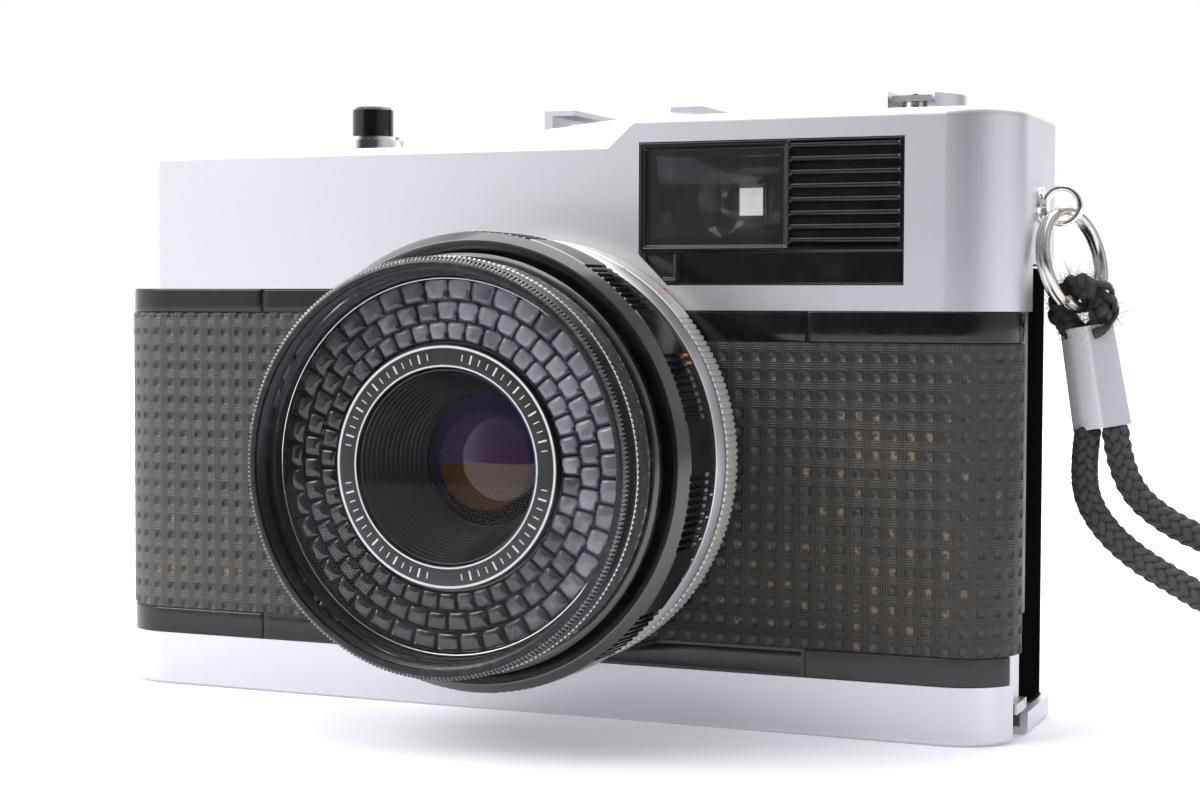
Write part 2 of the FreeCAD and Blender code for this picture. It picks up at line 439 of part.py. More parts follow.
def make_base():
    bush = post(0, 0, 0, 7.5, 4.1).fuse(post(0, 0, 0, 1.2, 4.6))
    add("tripod_bush", bush.cut(post(0, 0, -1, 6.0, 3.175)))
    add("rewind_button", post(-20, 3, 0.25, 5.8, 1.9).cut(post(-20, 3, -1, 0.7, 1.1)))


def make_door():
    outer = plan_prism(HINGE_X, DOOR_RIGHT, -30, DOOR_OUT, DOOR_LOW, DOOR_HIGH, 1, REAR_CORNER)
    door = outer.cut(plan_prism(HINGE_X - 9, DOOR_RIGHT - DOOR_WALL, -31, DOOR_OUT - DOOR_WALL, 0, 60, 1,
                                REAR_CORNER - DOOR_WALL))
    door = door.common(box(HINGE_X + 1, DOOR_RIGHT, END_WALL_Y + 0.1, DOOR_OUT, DOOR_LOW, DOOR_HIGH))
    door = door.fuse(post(HINGE_X, HINGE_Y, 6.2, 49.2, 1.7))
    door = door.cut(box(HINGE_X - 3, HINGE_X + 3.5, 9, 15, DOOR_LOW - 1, 6.2))
    door = door.cut(box(HINGE_X - 3, HINGE_X + 3.5, 9, 15, 49.2, DOOR_HIGH + 1))
    add("back_door", door.cut(post(HINGE_X, HINGE_Y, 0, 60, HINGE_R + RUN)))
    add("door_leatherette", box(-53, 46.5, DOOR_OUT, REAR, DOOR_LOW + 2, DOOR_HIGH - 2.5))
    add("hinge_pin", post(HINGE_X, HINGE_Y, CORE_LOW, DOOR_HIGH - 0.4, HINGE_R))
    plate = box(-27, 27, CORE_REAR + 0.2, CORE_REAR + 1.2, LENS_Z - 18, LENS_Z + 18)
    add("pressure_plate", plate)
    leaves = []
    low_y, high_y, thick = CORE_REAR + 1.35, DOOR_OUT - DOOR_WALL - 0.02, V(0, -0.12, 0)
    for x in (-15, 15):
        pts = [V(x - 9, low_y, 0), V(x, high_y, 0), V(x + 9, low_y, 0)]
        under = [p + thick for p in pts]
        edges = [Part.Arc(*pts).toShape(), Part.makeLine(pts[2], under[2]),
                 Part.Arc(*reversed(under)).toShape(), Part.makeLine(under[0], pts[0])]
        leaf = Part.Face(Part.Wire(edges)).extrude(V(0, 0, 6))
        leaf.translate(V(0, 0, LENS_Z - 3))
        leaves.append(leaf)
    add("plate_springs", Part.makeCompound(leaves))


def make_latch():
    x0 = CORE_RIGHT - 1.5
    latch = box(x0, x0 + 1.0, LATCH_Y0, LATCH_Y1, 3.2, 11.0)
    latch = latch.fuse(box(x0, x0 + 1.9, LATCH_Y0, LATCH_Y1, 3.2, 4.4))
    add("door_latch", latch)
    add("latch_spring", post(x0 + 0.55, -6.7, 11.05, 13.9, 0.5, 0.25))


def make_lugs():
    lugs = []
    for end, side in ((LEFT, -1), (RIGHT, 1)):
        cx = end + side * LUG_REACH
        eye = Part.makeCylinder(LUG_RIM, LUG_WIDE, V(cx, LUG_Y - LUG_WIDE / 2, LUG_Z), Y_AXIS)
        foot = Part.makeCylinder(2.3, 0.3, V(end, LUG_Y, LUG_Z), X_AXIS * side)
        stem = Part.makeCylinder(1.3, 2.2, V(end - side * 2.0, LUG_Y, LUG_Z), X_AXIS * side)
        hole = Part.makeCylinder(LUG_HOLE, 8, V(cx, LUG_Y - 4, LUG_Z), Y_AXIS)
        lugs.append(eye.fuse(foot).fuse(stem).cut(hole))
    add("strap_lugs", Part.makeCompound(lugs))


def make_lens():
    inner = turned([(10.9, -38.25), (12.6, -38.25), (12.6, -21), (15.6, -21), (15.6, -35.2), (BARREL_R, -35.2),
                    (BARREL_R, -14.9), (FLANGE_R, -14.9), (FLANGE_R, CORE_FRONT), (BARREL_R, CORE_FRONT),
                    (BARREL_R, BARREL_REAR), (15.6, BARREL_REAR), (15.6, -19), (10.9, -19)])
    add("lens_barrel", inner)
    bore = BARREL_R + RUN
    add("aperture_ring", turned([(bore, APERTURE_REAR), (APERTURE_R, APERTURE_REAR), (APERTURE_R, -18.9),
                                 (24.4, APERTURE_FRONT), (bore, APERTURE_FRONT)]))
    add("aperture_scale", turned([(bore, APERTURE_FRONT), (24.4, APERTURE_FRONT), (24.3, SCALE_FRONT),
                                  (bore, SCALE_FRONT)]))
    add("focus_ring", turned([(bore, FOCUS_REAR), (24.6, FOCUS_REAR), (24.6, -24.6), (FOCUS_R, -25.6),
                              (FOCUS_R, -31.5), (24.6, SKIRT_FRONT), (SKIRT_BORE, SKIRT_FRONT),
                              (SKIRT_BORE, FOCUS_FRONT), (bore, FOCUS_FRONT)]))
    add("asa_ring", turned([(bore, ASA_REAR), (22.1, ASA_REAR), (22.1, -33.4), (22.9, -33.5), (22.9, -34.6),
                            (22.4, ASA_FRONT), (bore, ASA_FRONT)]))
    add("lens_front_ring", turned([(15.7, FRONT_RING_REAR), (FRONT_RING_R, FRONT_RING_REAR),
                                   (FRONT_RING_R, FILTER_REAR), (21.75, FILTER_REAR), (21.75, -36.3),
                                   (15.7, -36.3)]))
    add("selenium_cell", disc(-37.0, -36.3, 20.2, 13.4))
    add("meter_window", disc(-38.9, -37.3, CELL_OUTER, 13.3))
    add("name_ring", disc(NAME_FRONT, -38.25, NAME_OUTER, NAME_INNER))


def make_front_cell():
    cone = [(10.6, -38.3), (9.9, -38.4)]
    for i in range(8):
        r, y = 9.6 - i * 0.36, -38.0 + i * 0.42
        cone += [(r, y), (r - 0.12, y + 0.34)]
    cone += [(6.7, -34.4), (6.7, -30.5), (8.2, -30.5), (8.2, -34.0), (10.6, -37.4)]
    add("front_cell", turned(cone))
    ball = Part.makeSphere(16, V(0, -18.6, LENS_Z)).common(disc(-34.6, -31.6, 6.65))
    add("front_element", ball)
    inner = [disc(-12.6, -11.4, 5.4), disc(-7.2, -5.2, 5.6)]
    add("inner_elements", Part.makeCompound(inner))


def make_shutter():
    case = disc(-13.0, -4.6, 19.5)
    case = case.cut(disc(-10.9, -7.5, 17.5))
    case = case.cut(disc(-14, -10, 5.5)).cut(disc(-8, -4, 5.7))
    add("shutter_housing", case)
    for name, y, side in (("shutter_blade_a", -10.6, -1), ("shutter_blade_b", -10.3, 1)):
        x0, x1 = sorted((side * 9, -side * 0.4))
        a0, a1 = sorted((0, side * 6))
        blade = disc(y, y + 0.12, 6.8).common(box(x0, x1, -20, 0, LENS_Z - 9, LENS_Z + 9))
        arm = box(a0, a1, y, y + 0.12, LENS_Z - 12.5, LENS_Z - 3)
        pivot = Part.makeCylinder(0.5, 1, V(side * 3, y - 0.4, LENS_Z - PIVOT_OUT), Y_AXIS)
        add(name, blade.fuse(arm).removeSplitter().cut(pivot))
    for name, y, side in (("aperture_blade_a", -9.0, -1), ("aperture_blade_b", -8.6, 1)):
        x0, x1 = sorted((side * 0.5, side * 10))
        blade = box(x0, x1, y, y + 0.12, LENS_Z - 8, LENS_Z + 13)
        pivot = Part.makeCylinder(0.5, 1, V(side * 6, y - 0.4, LENS_Z + PIVOT_OUT), Y_AXIS)
        add(name, blade.cut(disc(y - 1, y + 1, 5.2)).cut(pivot))


def make_filter():
    add("filter_ring", turned([(20.6, -36.6), (21.7, -36.6), (21.7, FILTER_REAR), (FILTER_R, FILTER_REAR),
                               (FILTER_R, FILTER_FRONT + 0.2), (FILTER_R - 0.2, FILTER_FRONT),
                               (ACCESSORY_R, FILTER_FRONT), (ACCESSORY_R, -40.9), (21.0, -40.9),
                               (21.0, -39.5), (20.6, -39.5)]))
    add("filter_glass", disc(-40.9, -39.5, 21.0))


def strap_frame():
    """Directions of the hanging ring and the points of the strap's fittings."""
    down = V(math.sin(RING_LEAN), 0, -math.cos(RING_LEAN))
    along = V(math.sin(RING_TURN), math.cos(RING_TURN), 0)
    axis = along.cross(down).normalize()
    top = V(RIGHT + LUG_REACH, LUG_Y, LUG_Z - 0.62)
    centre = top + down * RING_R
    low = centre + down * RING_R
    return down, axis, centre, low


def oval(centre, across, thick_dir, half_w, half_t):
    major, minor = (across, thick_dir)
    ellipse = Part.Ellipse(centre + major * half_w, centre + minor * half_t, centre)
    return Part.Wire(ellipse.toShape())


def cord_tube(route, radius, report_name):
    """Straight runs joined by tangent arcs, as large as the runs allow."""
    edges = []
    start = route[0]
    for before, corner, after in zip(route, route[1:], route[2:]):
        a, b = (before - corner), (after - corner)
        run = min(a.Length, b.Length)
        turn = math.pi - a.getAngle(b)
        reach = 0.45 * run
        print(report_name, "bend radius", round(reach / math.tan(turn / 2), 1), "turn", round(math.degrees(turn)))
        p, q = corner + a.normalize() * reach, corner + b.normalize() * reach
        bend_r = reach / math.tan(turn / 2)
        middle = corner + (a + b).normalize() * (bend_r / math.cos(turn / 2) - bend_r)
        edges += [Part.LineSegment(start, p).toShape(), Part.Arc(p, middle, q).toShape()]
        start = q
    edges.append(Part.LineSegment(start, route[-1]).toShape())
    wire = Part.Wire(edges)
    ring = Part.Wire(Part.Circle(route[0], (route[1] - route[0]).normalize(), radius).toShape())
    tube = wire.makePipeShell([ring], True, False)
    share = tube.Volume / (math.pi * radius ** 2 * wire.Length)
    print(report_name, "length", round(wire.Length, 1), "volume share", round(share, 4))
    return tube


def make_strap():
    down, axis, centre, low = strap_frame()
    ring = Part.makeTorus(RING_R, WIRE_R, centre - axis * 0.5, axis)
    add("split_ring", ring.fuse(Part.makeTorus(RING_R, WIRE_R, centre + axis * 0.5, axis)))
    bend = math.radians(35)
    ends = []
    for side in (-1, 1):
        tip = low + axis * (side * LOOP_R * math.cos(bend)) + down * (LOOP_R * math.sin(bend))
        ends.append((tip, tip - axis * (side * 1.2 * math.sin(bend)) + down * (1.2 * math.cos(bend))))
    crown = low - down * LOOP_R
    loop = Part.Wire([Part.LineSegment(ends[0][1], ends[0][0]).toShape(),
                      Part.Arc(ends[0][0], crown, ends[1][0]).toShape(),
                      Part.LineSegment(ends[1][0], ends[1][1]).toShape()])
    ring = Part.Wire(Part.Circle(ends[0][1], ends[0][0] - ends[0][1], LOOP_CORD_R).toShape())
    lie = V(math.sin(math.radians(9.5)), 0, -math.cos(math.radians(9.5)))
    mouth = low + down * (LOOP_R * math.sin(bend) + 1.2 * math.cos(bend) - 0.4)
    across = V(math.cos(math.radians(10)), math.sin(math.radians(-10)), 0)
    across = (across - lie * across.dot(lie)).normalize()
    thick = lie.cross(across).normalize()
    foot = mouth + lie * FERRULE_LENGTH
    ferrule = Part.makeLoft([oval(mouth, across, thick, 2.9, 1.9), oval(foot, across, thick, 3.3, 2.0)], True)
    add("strap_ferrule", ferrule)
    tube = loop.makePipeShell([ring], True, False)
    add("strap_loop", tube.cut(ferrule))
    left = foot - across * CORD_R
    right = foot + across * CORD_R
    route = [left] + [V(*p) for p in CORD_ROUTE] + [right]
    add("strap_cord", cord_tube(route, CORD_R, "strap_cord").cut(ferrule))
    print("cord ends", [tuple(round(c, 2) for c in p) for p in (left, right)], "hinge", LUG_Z)


# The wrist strap's cord: out of the ferrule, down to the table, round a flat loop and back.
CORD_ROUTE = [(61.0, 0.1, 29.6), (62.3, -0.6, 25.2), (66.6, -1.9, 20.9), (74.4, -3.6, 16.9), (84.5, -6.0, 11.6),
              (95.0, -9.0, 6.4), (107.5, -13.0, 1.9), (122.5, -18.0, 1.7), (138.0, -21.0, 1.7), (154.0, -18.0, 1.7),
              (165.5, -8.0, 1.7), (165.0, 5.5, 1.7), (154.0, 14.0, 1.7), (139.0, 14.5, 1.7), (124.5, 10.0, 1.7),
              (111.0, 6.0, 2.4), (99.5, 3.8, 8.6), (89.5, 2.6, 15.8), (79.5, 1.6, 20.8), (70.8, 1.1, 23.8),
              (65.2, 0.6, 28.8)]


def build():
    make_casting()
    make_front()
    make_top_cover()
    make_bottom_cover()
    make_screws()
    make_finder()
    make_shoe()
    make_release()
    make_advance()
    make_rewind()
    make_base()
    make_door()
    make_latch()
    make_lugs()
    make_lens()
    make_front_cell()
    make_shutter()
    make_filter()
    make_strap()
    os.makedirs("parts", exist_ok=True)
    for name, shape in PARTS.items():
        if not shape.isValid() or shape.Volume <= 0 or not shape.Solids:
            print("CHECK", name, shape.isValid(), round(shape.Volume, 1), len(shape.Solids))
        shape.exportStep("parts/" + name + ".step")
    print(len(PARTS), "nodes")


build()
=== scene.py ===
import bpy, math
import numpy as np
from mathutils import Matrix, Vector


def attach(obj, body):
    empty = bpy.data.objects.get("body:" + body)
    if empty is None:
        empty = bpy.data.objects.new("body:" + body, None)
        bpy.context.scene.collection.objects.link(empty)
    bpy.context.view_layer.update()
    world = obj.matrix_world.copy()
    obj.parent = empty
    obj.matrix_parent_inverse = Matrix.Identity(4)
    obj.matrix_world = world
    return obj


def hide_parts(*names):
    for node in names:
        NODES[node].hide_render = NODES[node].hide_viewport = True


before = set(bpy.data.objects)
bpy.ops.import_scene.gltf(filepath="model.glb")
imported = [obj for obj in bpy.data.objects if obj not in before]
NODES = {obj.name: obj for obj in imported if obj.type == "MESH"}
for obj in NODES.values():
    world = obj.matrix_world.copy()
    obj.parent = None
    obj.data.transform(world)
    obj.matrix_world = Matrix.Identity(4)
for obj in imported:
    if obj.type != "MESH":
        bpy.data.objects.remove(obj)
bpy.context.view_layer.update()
MM = 0.001
RNG = np.random.default_rng(7)
LENS_Z = 30.9
TAU = 2 * math.pi


# ---- camera
def make_camera():
    """The eye in millimetres, and which way it looks; a level horizon would have no roll."""
    yaw, pitch, roll = (math.radians(a) for a in (22.662, -2.388, 0.217))
    eye = Vector((105.81, -248.98, 48.15)) * MM
    ahead = Vector((-math.sin(yaw) * math.cos(pitch), math.cos(yaw) * math.cos(pitch), math.sin(pitch)))
    level = Vector((math.cos(yaw), math.sin(yaw), 0))
    upward = level.cross(ahead)
    side = level * math.cos(roll) + upward * math.sin(roll)
    top = upward * math.cos(roll) - level * math.sin(roll)
    data = bpy.data.cameras.new("camera")
    data.sensor_width, data.lens = 36.0, 65.58
    data.clip_start, data.clip_end = 0.01, 20
    cam = bpy.data.objects.new("camera", data)
    bpy.context.scene.collection.objects.link(cam)
    cam.matrix_world = Matrix.Translation(eye) @ Matrix((side, top, -ahead)).transposed().to_4x4()
    bpy.context.scene.camera = cam
    bpy.context.scene.view_settings.view_transform = "Standard"


make_camera()


# ---- mesh helpers (millimetres in, metres out)
def piece(name, mesh, mat, body, nodes=(), angle=35, uv=None, attr=None):
    """A smooth-shaded mesh, as (points, faces), that rides on a CAD body and may stand for CAD nodes."""
    verts, faces = mesh
    me = bpy.data.meshes.new(name)
    me.from_pydata((np.asarray(verts, float) * MM).tolist(), [], [list(f) for f in faces])
    me.update()
    me.polygons.foreach_set("use_smooth", np.ones(len(me.polygons), bool))
    me.set_sharp_from_angle(angle=math.radians(angle))
    if attr is not None:
        for key, values in attr.items():
            me.attributes.new(key, "FLOAT", "POINT").data.foreach_set("value", np.asarray(values, np.float32))
    if uv is not None:
        layer = me.uv_layers.new(name="UVMap")
        loops = np.zeros(len(me.loops), np.int32)
        me.loops.foreach_get("vertex_index", loops)
        layer.data.foreach_set("uv", np.asarray(uv, np.float32)[loops].ravel())
    me.materials.append(mat)
    obj = bpy.data.objects.new(name, me)
    bpy.context.scene.collection.objects.link(obj)
    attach(obj, body)
    if nodes:
        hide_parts(*nodes)
    return obj


def grid_faces(nu, nv, wrap_u=False, wrap_v=False):
    """Quads of a grid of nu x nv points, stored u-major."""
    iu = np.arange(nu if wrap_u else nu - 1)
    iv = np.arange(nv if wrap_v else nv - 1)
    a, b = np.meshgrid(iu, iv, indexing="ij")
    a2, b2 = (a + 1) % nu, (b + 1) % nv
    return np.stack([a * nv + b, a2 * nv + b, a2 * nv + b2, a * nv + b2], -1).reshape(-1, 4)


def capped(rows, columns):
    """Faces of a tube of rows x columns points, with an end cap on each side."""
    ends = [list(range(columns))[::-1], list(range((rows - 1) * columns, rows * columns))]
    return grid_faces(rows, columns, False, True).tolist() + ends


def lathe(profile, segments, wave=None):
    """Points and faces of a solid of revolution about the lens axis, from (radius, y) points.

    wave(index, clock) gives how far a profile point is pushed outwards at each clock angle (0 is the top,
    growing clockwise as seen from the front)."""
    t = np.linspace(0, TAU, segments, endpoint=False)
    pts = np.zeros((segments, len(profile), 3))
    for i, (r, y) in enumerate(profile):
        radius = r + (wave(i, t) if wave else 0)
        pts[:, i] = np.stack([radius * np.sin(t), np.full_like(t, y), LENS_Z + radius * np.cos(t)], -1)
    return pts.reshape(-1, 3), grid_faces(segments, len(profile), True, True)


def rounded(points, radius=0.12, steps=3):
    """A profile with every corner rounded off a little."""
    pts = [np.array(p, float) for p in points]
    out = []
    n = len(pts)
    for i, p in enumerate(pts):
        a, b = pts[i - 1] - p, pts[(i + 1) % n] - p
        la, lb = np.linalg.norm(a), np.linalg.norm(b)
        r = min(radius, 0.4 * la, 0.4 * lb)
        p0, p1 = p + a / la * r, p + b / lb * r
        for k in range(steps + 1):
            s = k / steps
            out.append(tuple((1 - s) ** 2 * p0 + 2 * s * (1 - s) * p + s ** 2 * p1))
    return out


def ring(name, profile, segments, mat, body="camera_body", nodes=(), radius=0.1,
         wave=None, angle=35):
    """A lathed ring whose profile has its corners rounded off."""
    prof = rounded(profile, radius)
    mesh = lathe(prof, segments, (lambda i, t: wave(prof[i], t)) if wave else None)
    return piece(name, mesh, mat, body, nodes, angle)


def without(points, faces, gone):
    """The grid without the faces whose corners are all gone, and which of its points are left."""
    faces = faces[~gone[faces].all(1)]
    used = np.unique(faces)
    index = np.zeros(len(points), int)
    index[used] = np.arange(len(used))
    return (points[used], index[faces].tolist()), used


def join(parts):
    """Several (points, faces) as one."""
    verts, faces, base = [], [], 0
    for v, f in parts:
        verts.append(np.asarray(v, float))
        faces += [[int(i) + base for i in q] for q in f]
        base += len(v)
    return np.concatenate(verts), faces


def frames_along(path):
    """Tangent and two steady side directions at each point of a path."""
    tan = np.gradient(path, axis=0)
    tan /= np.linalg.norm(tan, axis=1)[:, None]
    one = np.zeros_like(path)
    first = np.array([0.0, 1.0, 0.0])
    if abs(tan[0] @ first) > 0.9:
        first = np.array([1.0, 0.0, 0.0])
    one[0] = first - tan[0] * (first @ tan[0])
    one[0] /= np.linalg.norm(one[0])
    for i in range(1, len(path)):
        v = one[i - 1] - tan[i] * (one[i - 1] @ tan[i])
        one[i] = v / np.linalg.norm(v)
    return tan, one, np.cross(tan, one)


def tube(path, radius, sides=10):
    """Closed tube along a path; radius may be one number or one per point."""
    path = np.asarray(path, float)
    radius = np.broadcast_to(np.asarray(radius, float), (len(path),))
    _, one, two = frames_along(path)
    a = np.linspace(0, TAU, sides, endpoint=False)
    pts = path[:, None] + radius[:, None, None] * (np.cos(a)[None, :, None] * one[:, None]
                                                   + np.sin(a)[None, :, None] * two[:, None])
    return pts.reshape(-1, 3), capped(len(path), sides)


def resample(path, step):
    """Points an even step apart on a line."""
    path = np.asarray(path, float)
    d = np.r_[0, np.cumsum(np.linalg.norm(np.diff(path, axis=0), axis=1))]
    n = max(2, int(round(d[-1] / step)) + 1)
    s = np.linspace(0, d[-1], n)
    return np.stack([np.interp(s, d, path[:, k]) for k in range(3)], -1)


# ---- materials
def shader(name, color, rough, metallic=0.0, ior=1.5, sheen=0.0):
    """A Principled material, its node tree and its shader node."""
    mat = bpy.data.materials.new(name)
    mat.use_nodes = True
    nt = mat.node_tree
    bsdf = nt.nodes["Principled BSDF"]
    constants = {"Base Color": (*color, 1), "Roughness": rough, "Metallic": metallic, "IOR": ior,
                 "Sheen Weight": sheen}
    for key, value in constants.items():
        bsdf.inputs[key].default_value = value
    return mat, nt, bsdf


def node(nt, kind, inputs=None, **props):
    n = nt.nodes.new(kind)
    for k, v in props.items():
        setattr(n, k, v)
    for k, v in (inputs or {}).items():
        if hasattr(v, "is_output"):
            nt.links.new(v, n.inputs[k])
        else:
            n.inputs[k].default_value = v
    return n


def coords(nt, stretch=(1, 1, 1)):
    """Object coordinates in millimetres."""
    vec = node(nt, "ShaderNodeTexCoord").outputs["Object"]
    inputs = {"Vector": vec, "Scale": tuple(1000 * s for s in stretch)}
    return node(nt, "ShaderNodeMapping", inputs).outputs["Vector"]


def noise(nt, vec, scale, detail=3.0, rough=0.55):
    inputs = {"Vector": vec, "Scale": scale, "Detail": detail, "Roughness": rough}
    return node(nt, "ShaderNodeTexNoise", inputs).outputs[0]


def ramp(nt, value, *stops):
    """Colours against a value, from (position, colour or level of grey) stops."""
    n = node(nt, "ShaderNodeValToRGB", {"Fac": value})
    el = n.color_ramp.elements
    while len(el) < len(stops):
        el.new(0.5)
    for e, (pos, col) in zip(el, stops):
        e.position = pos
        e.color = (*(col if isinstance(col, tuple) else grey(col)), 1)
    return n.outputs["Color"]


def patchy(nt, low, high, *which):
    """Noise as 0 below one level and 1 above another."""
    return ramp(nt, noise(nt, *which), (low, 0), (high, 1))


def grey(v):
    return (v, v, v)


def mix(nt, fac, a, b):
    n = nt.nodes.new("ShaderNodeMix")
    n.data_type = "RGBA"
    for sock, v in ((n.inputs[0], fac), (n.inputs[6], a), (n.inputs[7], b)):
        if hasattr(v, "is_output"):
            nt.links.new(v, sock)
        else:
            sock.default_value = (*v, 1) if isinstance(v, tuple) else v
    return n.outputs[2]


def math_node(nt, op, a, b=0.0):
    return node(nt, "ShaderNodeMath", {0: a, 1: b}, operation=op).outputs[0]


def times(nt, a, b):
    return math_node(nt, "MULTIPLY", a, b)


def plus(nt, a, b):
    return math_node(nt, "ADD", a, b)


def attribute(nt, name):
    """A number that the mesh carries at each point."""
    return node(nt, "ShaderNodeAttribute", attribute_name=name).outputs["Fac"]


def split(nt, vec):
    """The x, y and z of a vector."""
    return node(nt, "ShaderNodeSeparateXYZ", {"Vector": vec}).outputs


def feed(bsdf, key, value):
    """Link a value into an input of a shader node."""
    bsdf.id_data.links.new(value, bsdf.inputs[key])


def bump(nt, bsdf, height, strength, distance=0.1):
    inputs = {"Height": height, "Strength": strength, "Distance": distance * MM}
    feed(bsdf, "Normal", node(nt, "ShaderNodeBump", inputs).outputs["Normal"])


def dusty(nt, bsdf, vec, base, rough, amount=0.5, dust=(0.16, 0.15, 0.14), specks=0.03):
    """Black surfaces collect soft haze and small pale specks."""
    haze_and_light = patchy(nt, 0.42, 0.75, vec, 0.35, 4)
    speck = node(nt, "ShaderNodeTexVoronoi", {"Vector": vec, "Scale": 1.3, "Randomness": 1.0})
    dots = ramp(nt, speck.outputs["Distance"], (specks, grey(1)), (specks * 1.6, grey(0)))
    keep = patchy(nt, 0.5, 0.56, vec, 0.9, 2)
    spots = times(nt, dots, keep)
    haze_part = times(nt, haze_and_light, amount * 0.05)
    total = math_node(nt, "MAXIMUM", times(nt, spots, amount), haze_part)
    feed(bsdf, "Base Color", mix(nt, total, base, dust))
    r = plus(nt, times(nt, haze_and_light, 0.12), rough)
    feed(bsdf, "Roughness", math_node(nt, "MAXIMUM", r, times(nt, spots, 0.8)))


def make_satin(name, color, rough, grain=0.012):
    mat, nt, bsdf = shader(name, color, rough, metallic=1.0)
    vec = coords(nt)
    fine = noise(nt, vec, 9.0, 2)
    broad = noise(nt, vec, 0.06, 4)
    scuffs = patchy(nt, 0.62, 0.75, coords(nt, (0.15, 1, 2.5)), 1.6, 6, 0.65)
    shade = mix(nt, times(nt, broad, 0.35), color, tuple(c * 0.9 for c in color))
    shade = mix(nt, times(nt, scuffs, 0.12), shade, tuple(min(1, c * 1.15) for c in color))
    feed(bsdf, "Base Color", shade)
    r = plus(nt, times(nt, fine, 0.08), rough - 0.04)
    feed(bsdf, "Roughness", math_node(nt, "SUBTRACT", r, times(nt, scuffs, 0.08)))
    bump(nt, bsdf, fine, 0.25, grain)
    return mat


def make_black(name, color, rough, amount=0.5, grain=0.0, specks=0.03, ior=1.5):
    """Paint or moulded plastic; grain is the depth of its texture."""
    mat, nt, bsdf = shader(name, color, rough, ior=ior)
    vec = coords(nt)
    dusty(nt, bsdf, vec, color, rough, amount, specks=specks)
    bump(nt, bsdf, noise(nt, vec, 7.0 if grain else 0.25, 3), 0.4 if grain else 0.15, grain or 0.02)
    return mat


def make_metal(name, color, rough, tarnish=(0.25, 0.17, 0.09), share=0.6, scratch=0.3):
    mat, nt, bsdf = shader(name, color, rough, metallic=1.0)
    vec = coords(nt)
    stain = patchy(nt, 0.55, 0.72, vec, 0.9, 6, 0.65)
    feed(bsdf, "Base Color", mix(nt, times(nt, stain, share), color, tarnish))
    lines = noise(nt, coords(nt, (1, 1, 0.12)), 5.0, 5)
    r = plus(nt, times(nt, lines, scratch * 0.25), rough)
    feed(bsdf, "Roughness", plus(nt, r, times(nt, stain, 0.2)))
    bump(nt, bsdf, lines, 0.2, 0.02)
    return mat


SATIN = make_satin("satin_chrome", (0.735, 0.73, 0.775), 0.40)
RING_SILVER = make_satin("ring_silver", (0.80, 0.80, 0.83), 0.32)
GLOSS = make_black("gloss_black", (0.006, 0.006, 0.007), rough=0.09)
RING_BLACK = make_black("ring_black", (0.006, 0.006, 0.007), 0.2, amount=0.9, specks=0.05)
RING_GLOSS = make_black("ring_gloss", (0.006, 0.006, 0.007), 0.17, amount=0.9, specks=0.05, ior=1.95)
BARREL_BLACK = make_black("barrel_black", (0.006, 0.006, 0.007), 0.28, amount=0.4)
MATT = make_black("matt_black", (0.016, 0.016, 0.016), 0.6, amount=0.3, grain=0.02)
PAINT = make_black("painted_casting", (0.018, 0.018, 0.019), 0.38, amount=0.5, grain=0.03)
NICKEL = make_metal("nickel", (0.66, 0.63, 0.58), 0.17)
STEEL = make_metal("steel", (0.55, 0.55, 0.55), 0.3, share=0.3)
BRIGHT = make_metal("bright_steel", (0.86, 0.85, 0.85), 0.12, tarnish=(0.45, 0.40, 0.36), share=0.25)
BRASS = make_metal("brass", (0.62, 0.45, 0.2), 0.3)


def make_clear(name, tint, ior, rough=0.02, face=0.0):
    """Glass as a mirror whose share follows the Fresnel law, over a clear gap."""
    mat, nt, bsdf = shader(name, tint, rough, metallic=1.0)
    fres = node(nt, "ShaderNodeFresnel", {"IOR": ior}).outputs[0]
    smear = times(nt, noise(nt, coords(nt), 0.25, 5, 0.6), face)
    feed(bsdf, "Alpha", plus(nt, fres, smear))
    return mat


FILTER_GLASS = make_clear("filter_glass", (0.92, 0.95, 1.0), 1.13, face=0.004)
WINDOW_GLASS = make_clear("window_glass", (0.9, 0.95, 1.0), 1.45, face=0.05)


# ---- the wrist strap's cord
FOOT_L, FOOT_R = (61.52, 0.78, 34.49), (64.63, 0.22, 35.01)
ROUTE = [FOOT_L, (61.0, 0.1, 29.6), (62.3, -0.6, 25.2), (66.6, -1.9, 20.9), (74.4, -3.6, 16.9),
         (84.5, -6.0, 11.6), (95.0, -9.0, 6.4), (107.5, -13.0, 1.9), (122.5, -18.0, 1.7), (138.0, -21.0, 1.7),
         (154.0, -18.0, 1.7), (165.5, -8.0, 1.7), (165.0, 5.5, 1.7), (154.0, 14.0, 1.7), (139.0, 14.5, 1.7),
         (124.5, 10.0, 1.7), (111.0, 6.0, 2.4), (99.5, 3.8, 8.6), (89.5, 2.6, 15.8), (79.5, 1.6, 20.8),
         (70.8, 1.1, 23.8), (65.2, 0.6, 28.8), FOOT_R]


def smooth_line(route, step):
    """Points on the NURBS spline with these control points."""
    curve = bpy.data.curves.new("route", "CURVE")
    curve.dimensions = "3D"
    spline = curve.splines.new("NURBS")
    spline.points.add(len(route) - 1)
    for p, co in zip(spline.points, route):
        p.co = (*(c * MM for c in co), 1)
    spline.order_u = 3
    spline.use_endpoint_u = True
    spline.resolution_u = 24
    obj = bpy.data.objects.new("route", curve)
    bpy.context.scene.collection.objects.link(obj)
    me = bpy.data.meshes.new_from_object(obj)
    pts = np.array([v.co for v in me.vertices]) / MM
    bpy.data.objects.remove(obj)
    bpy.data.meshes.remove(me)
    return resample(pts, step)


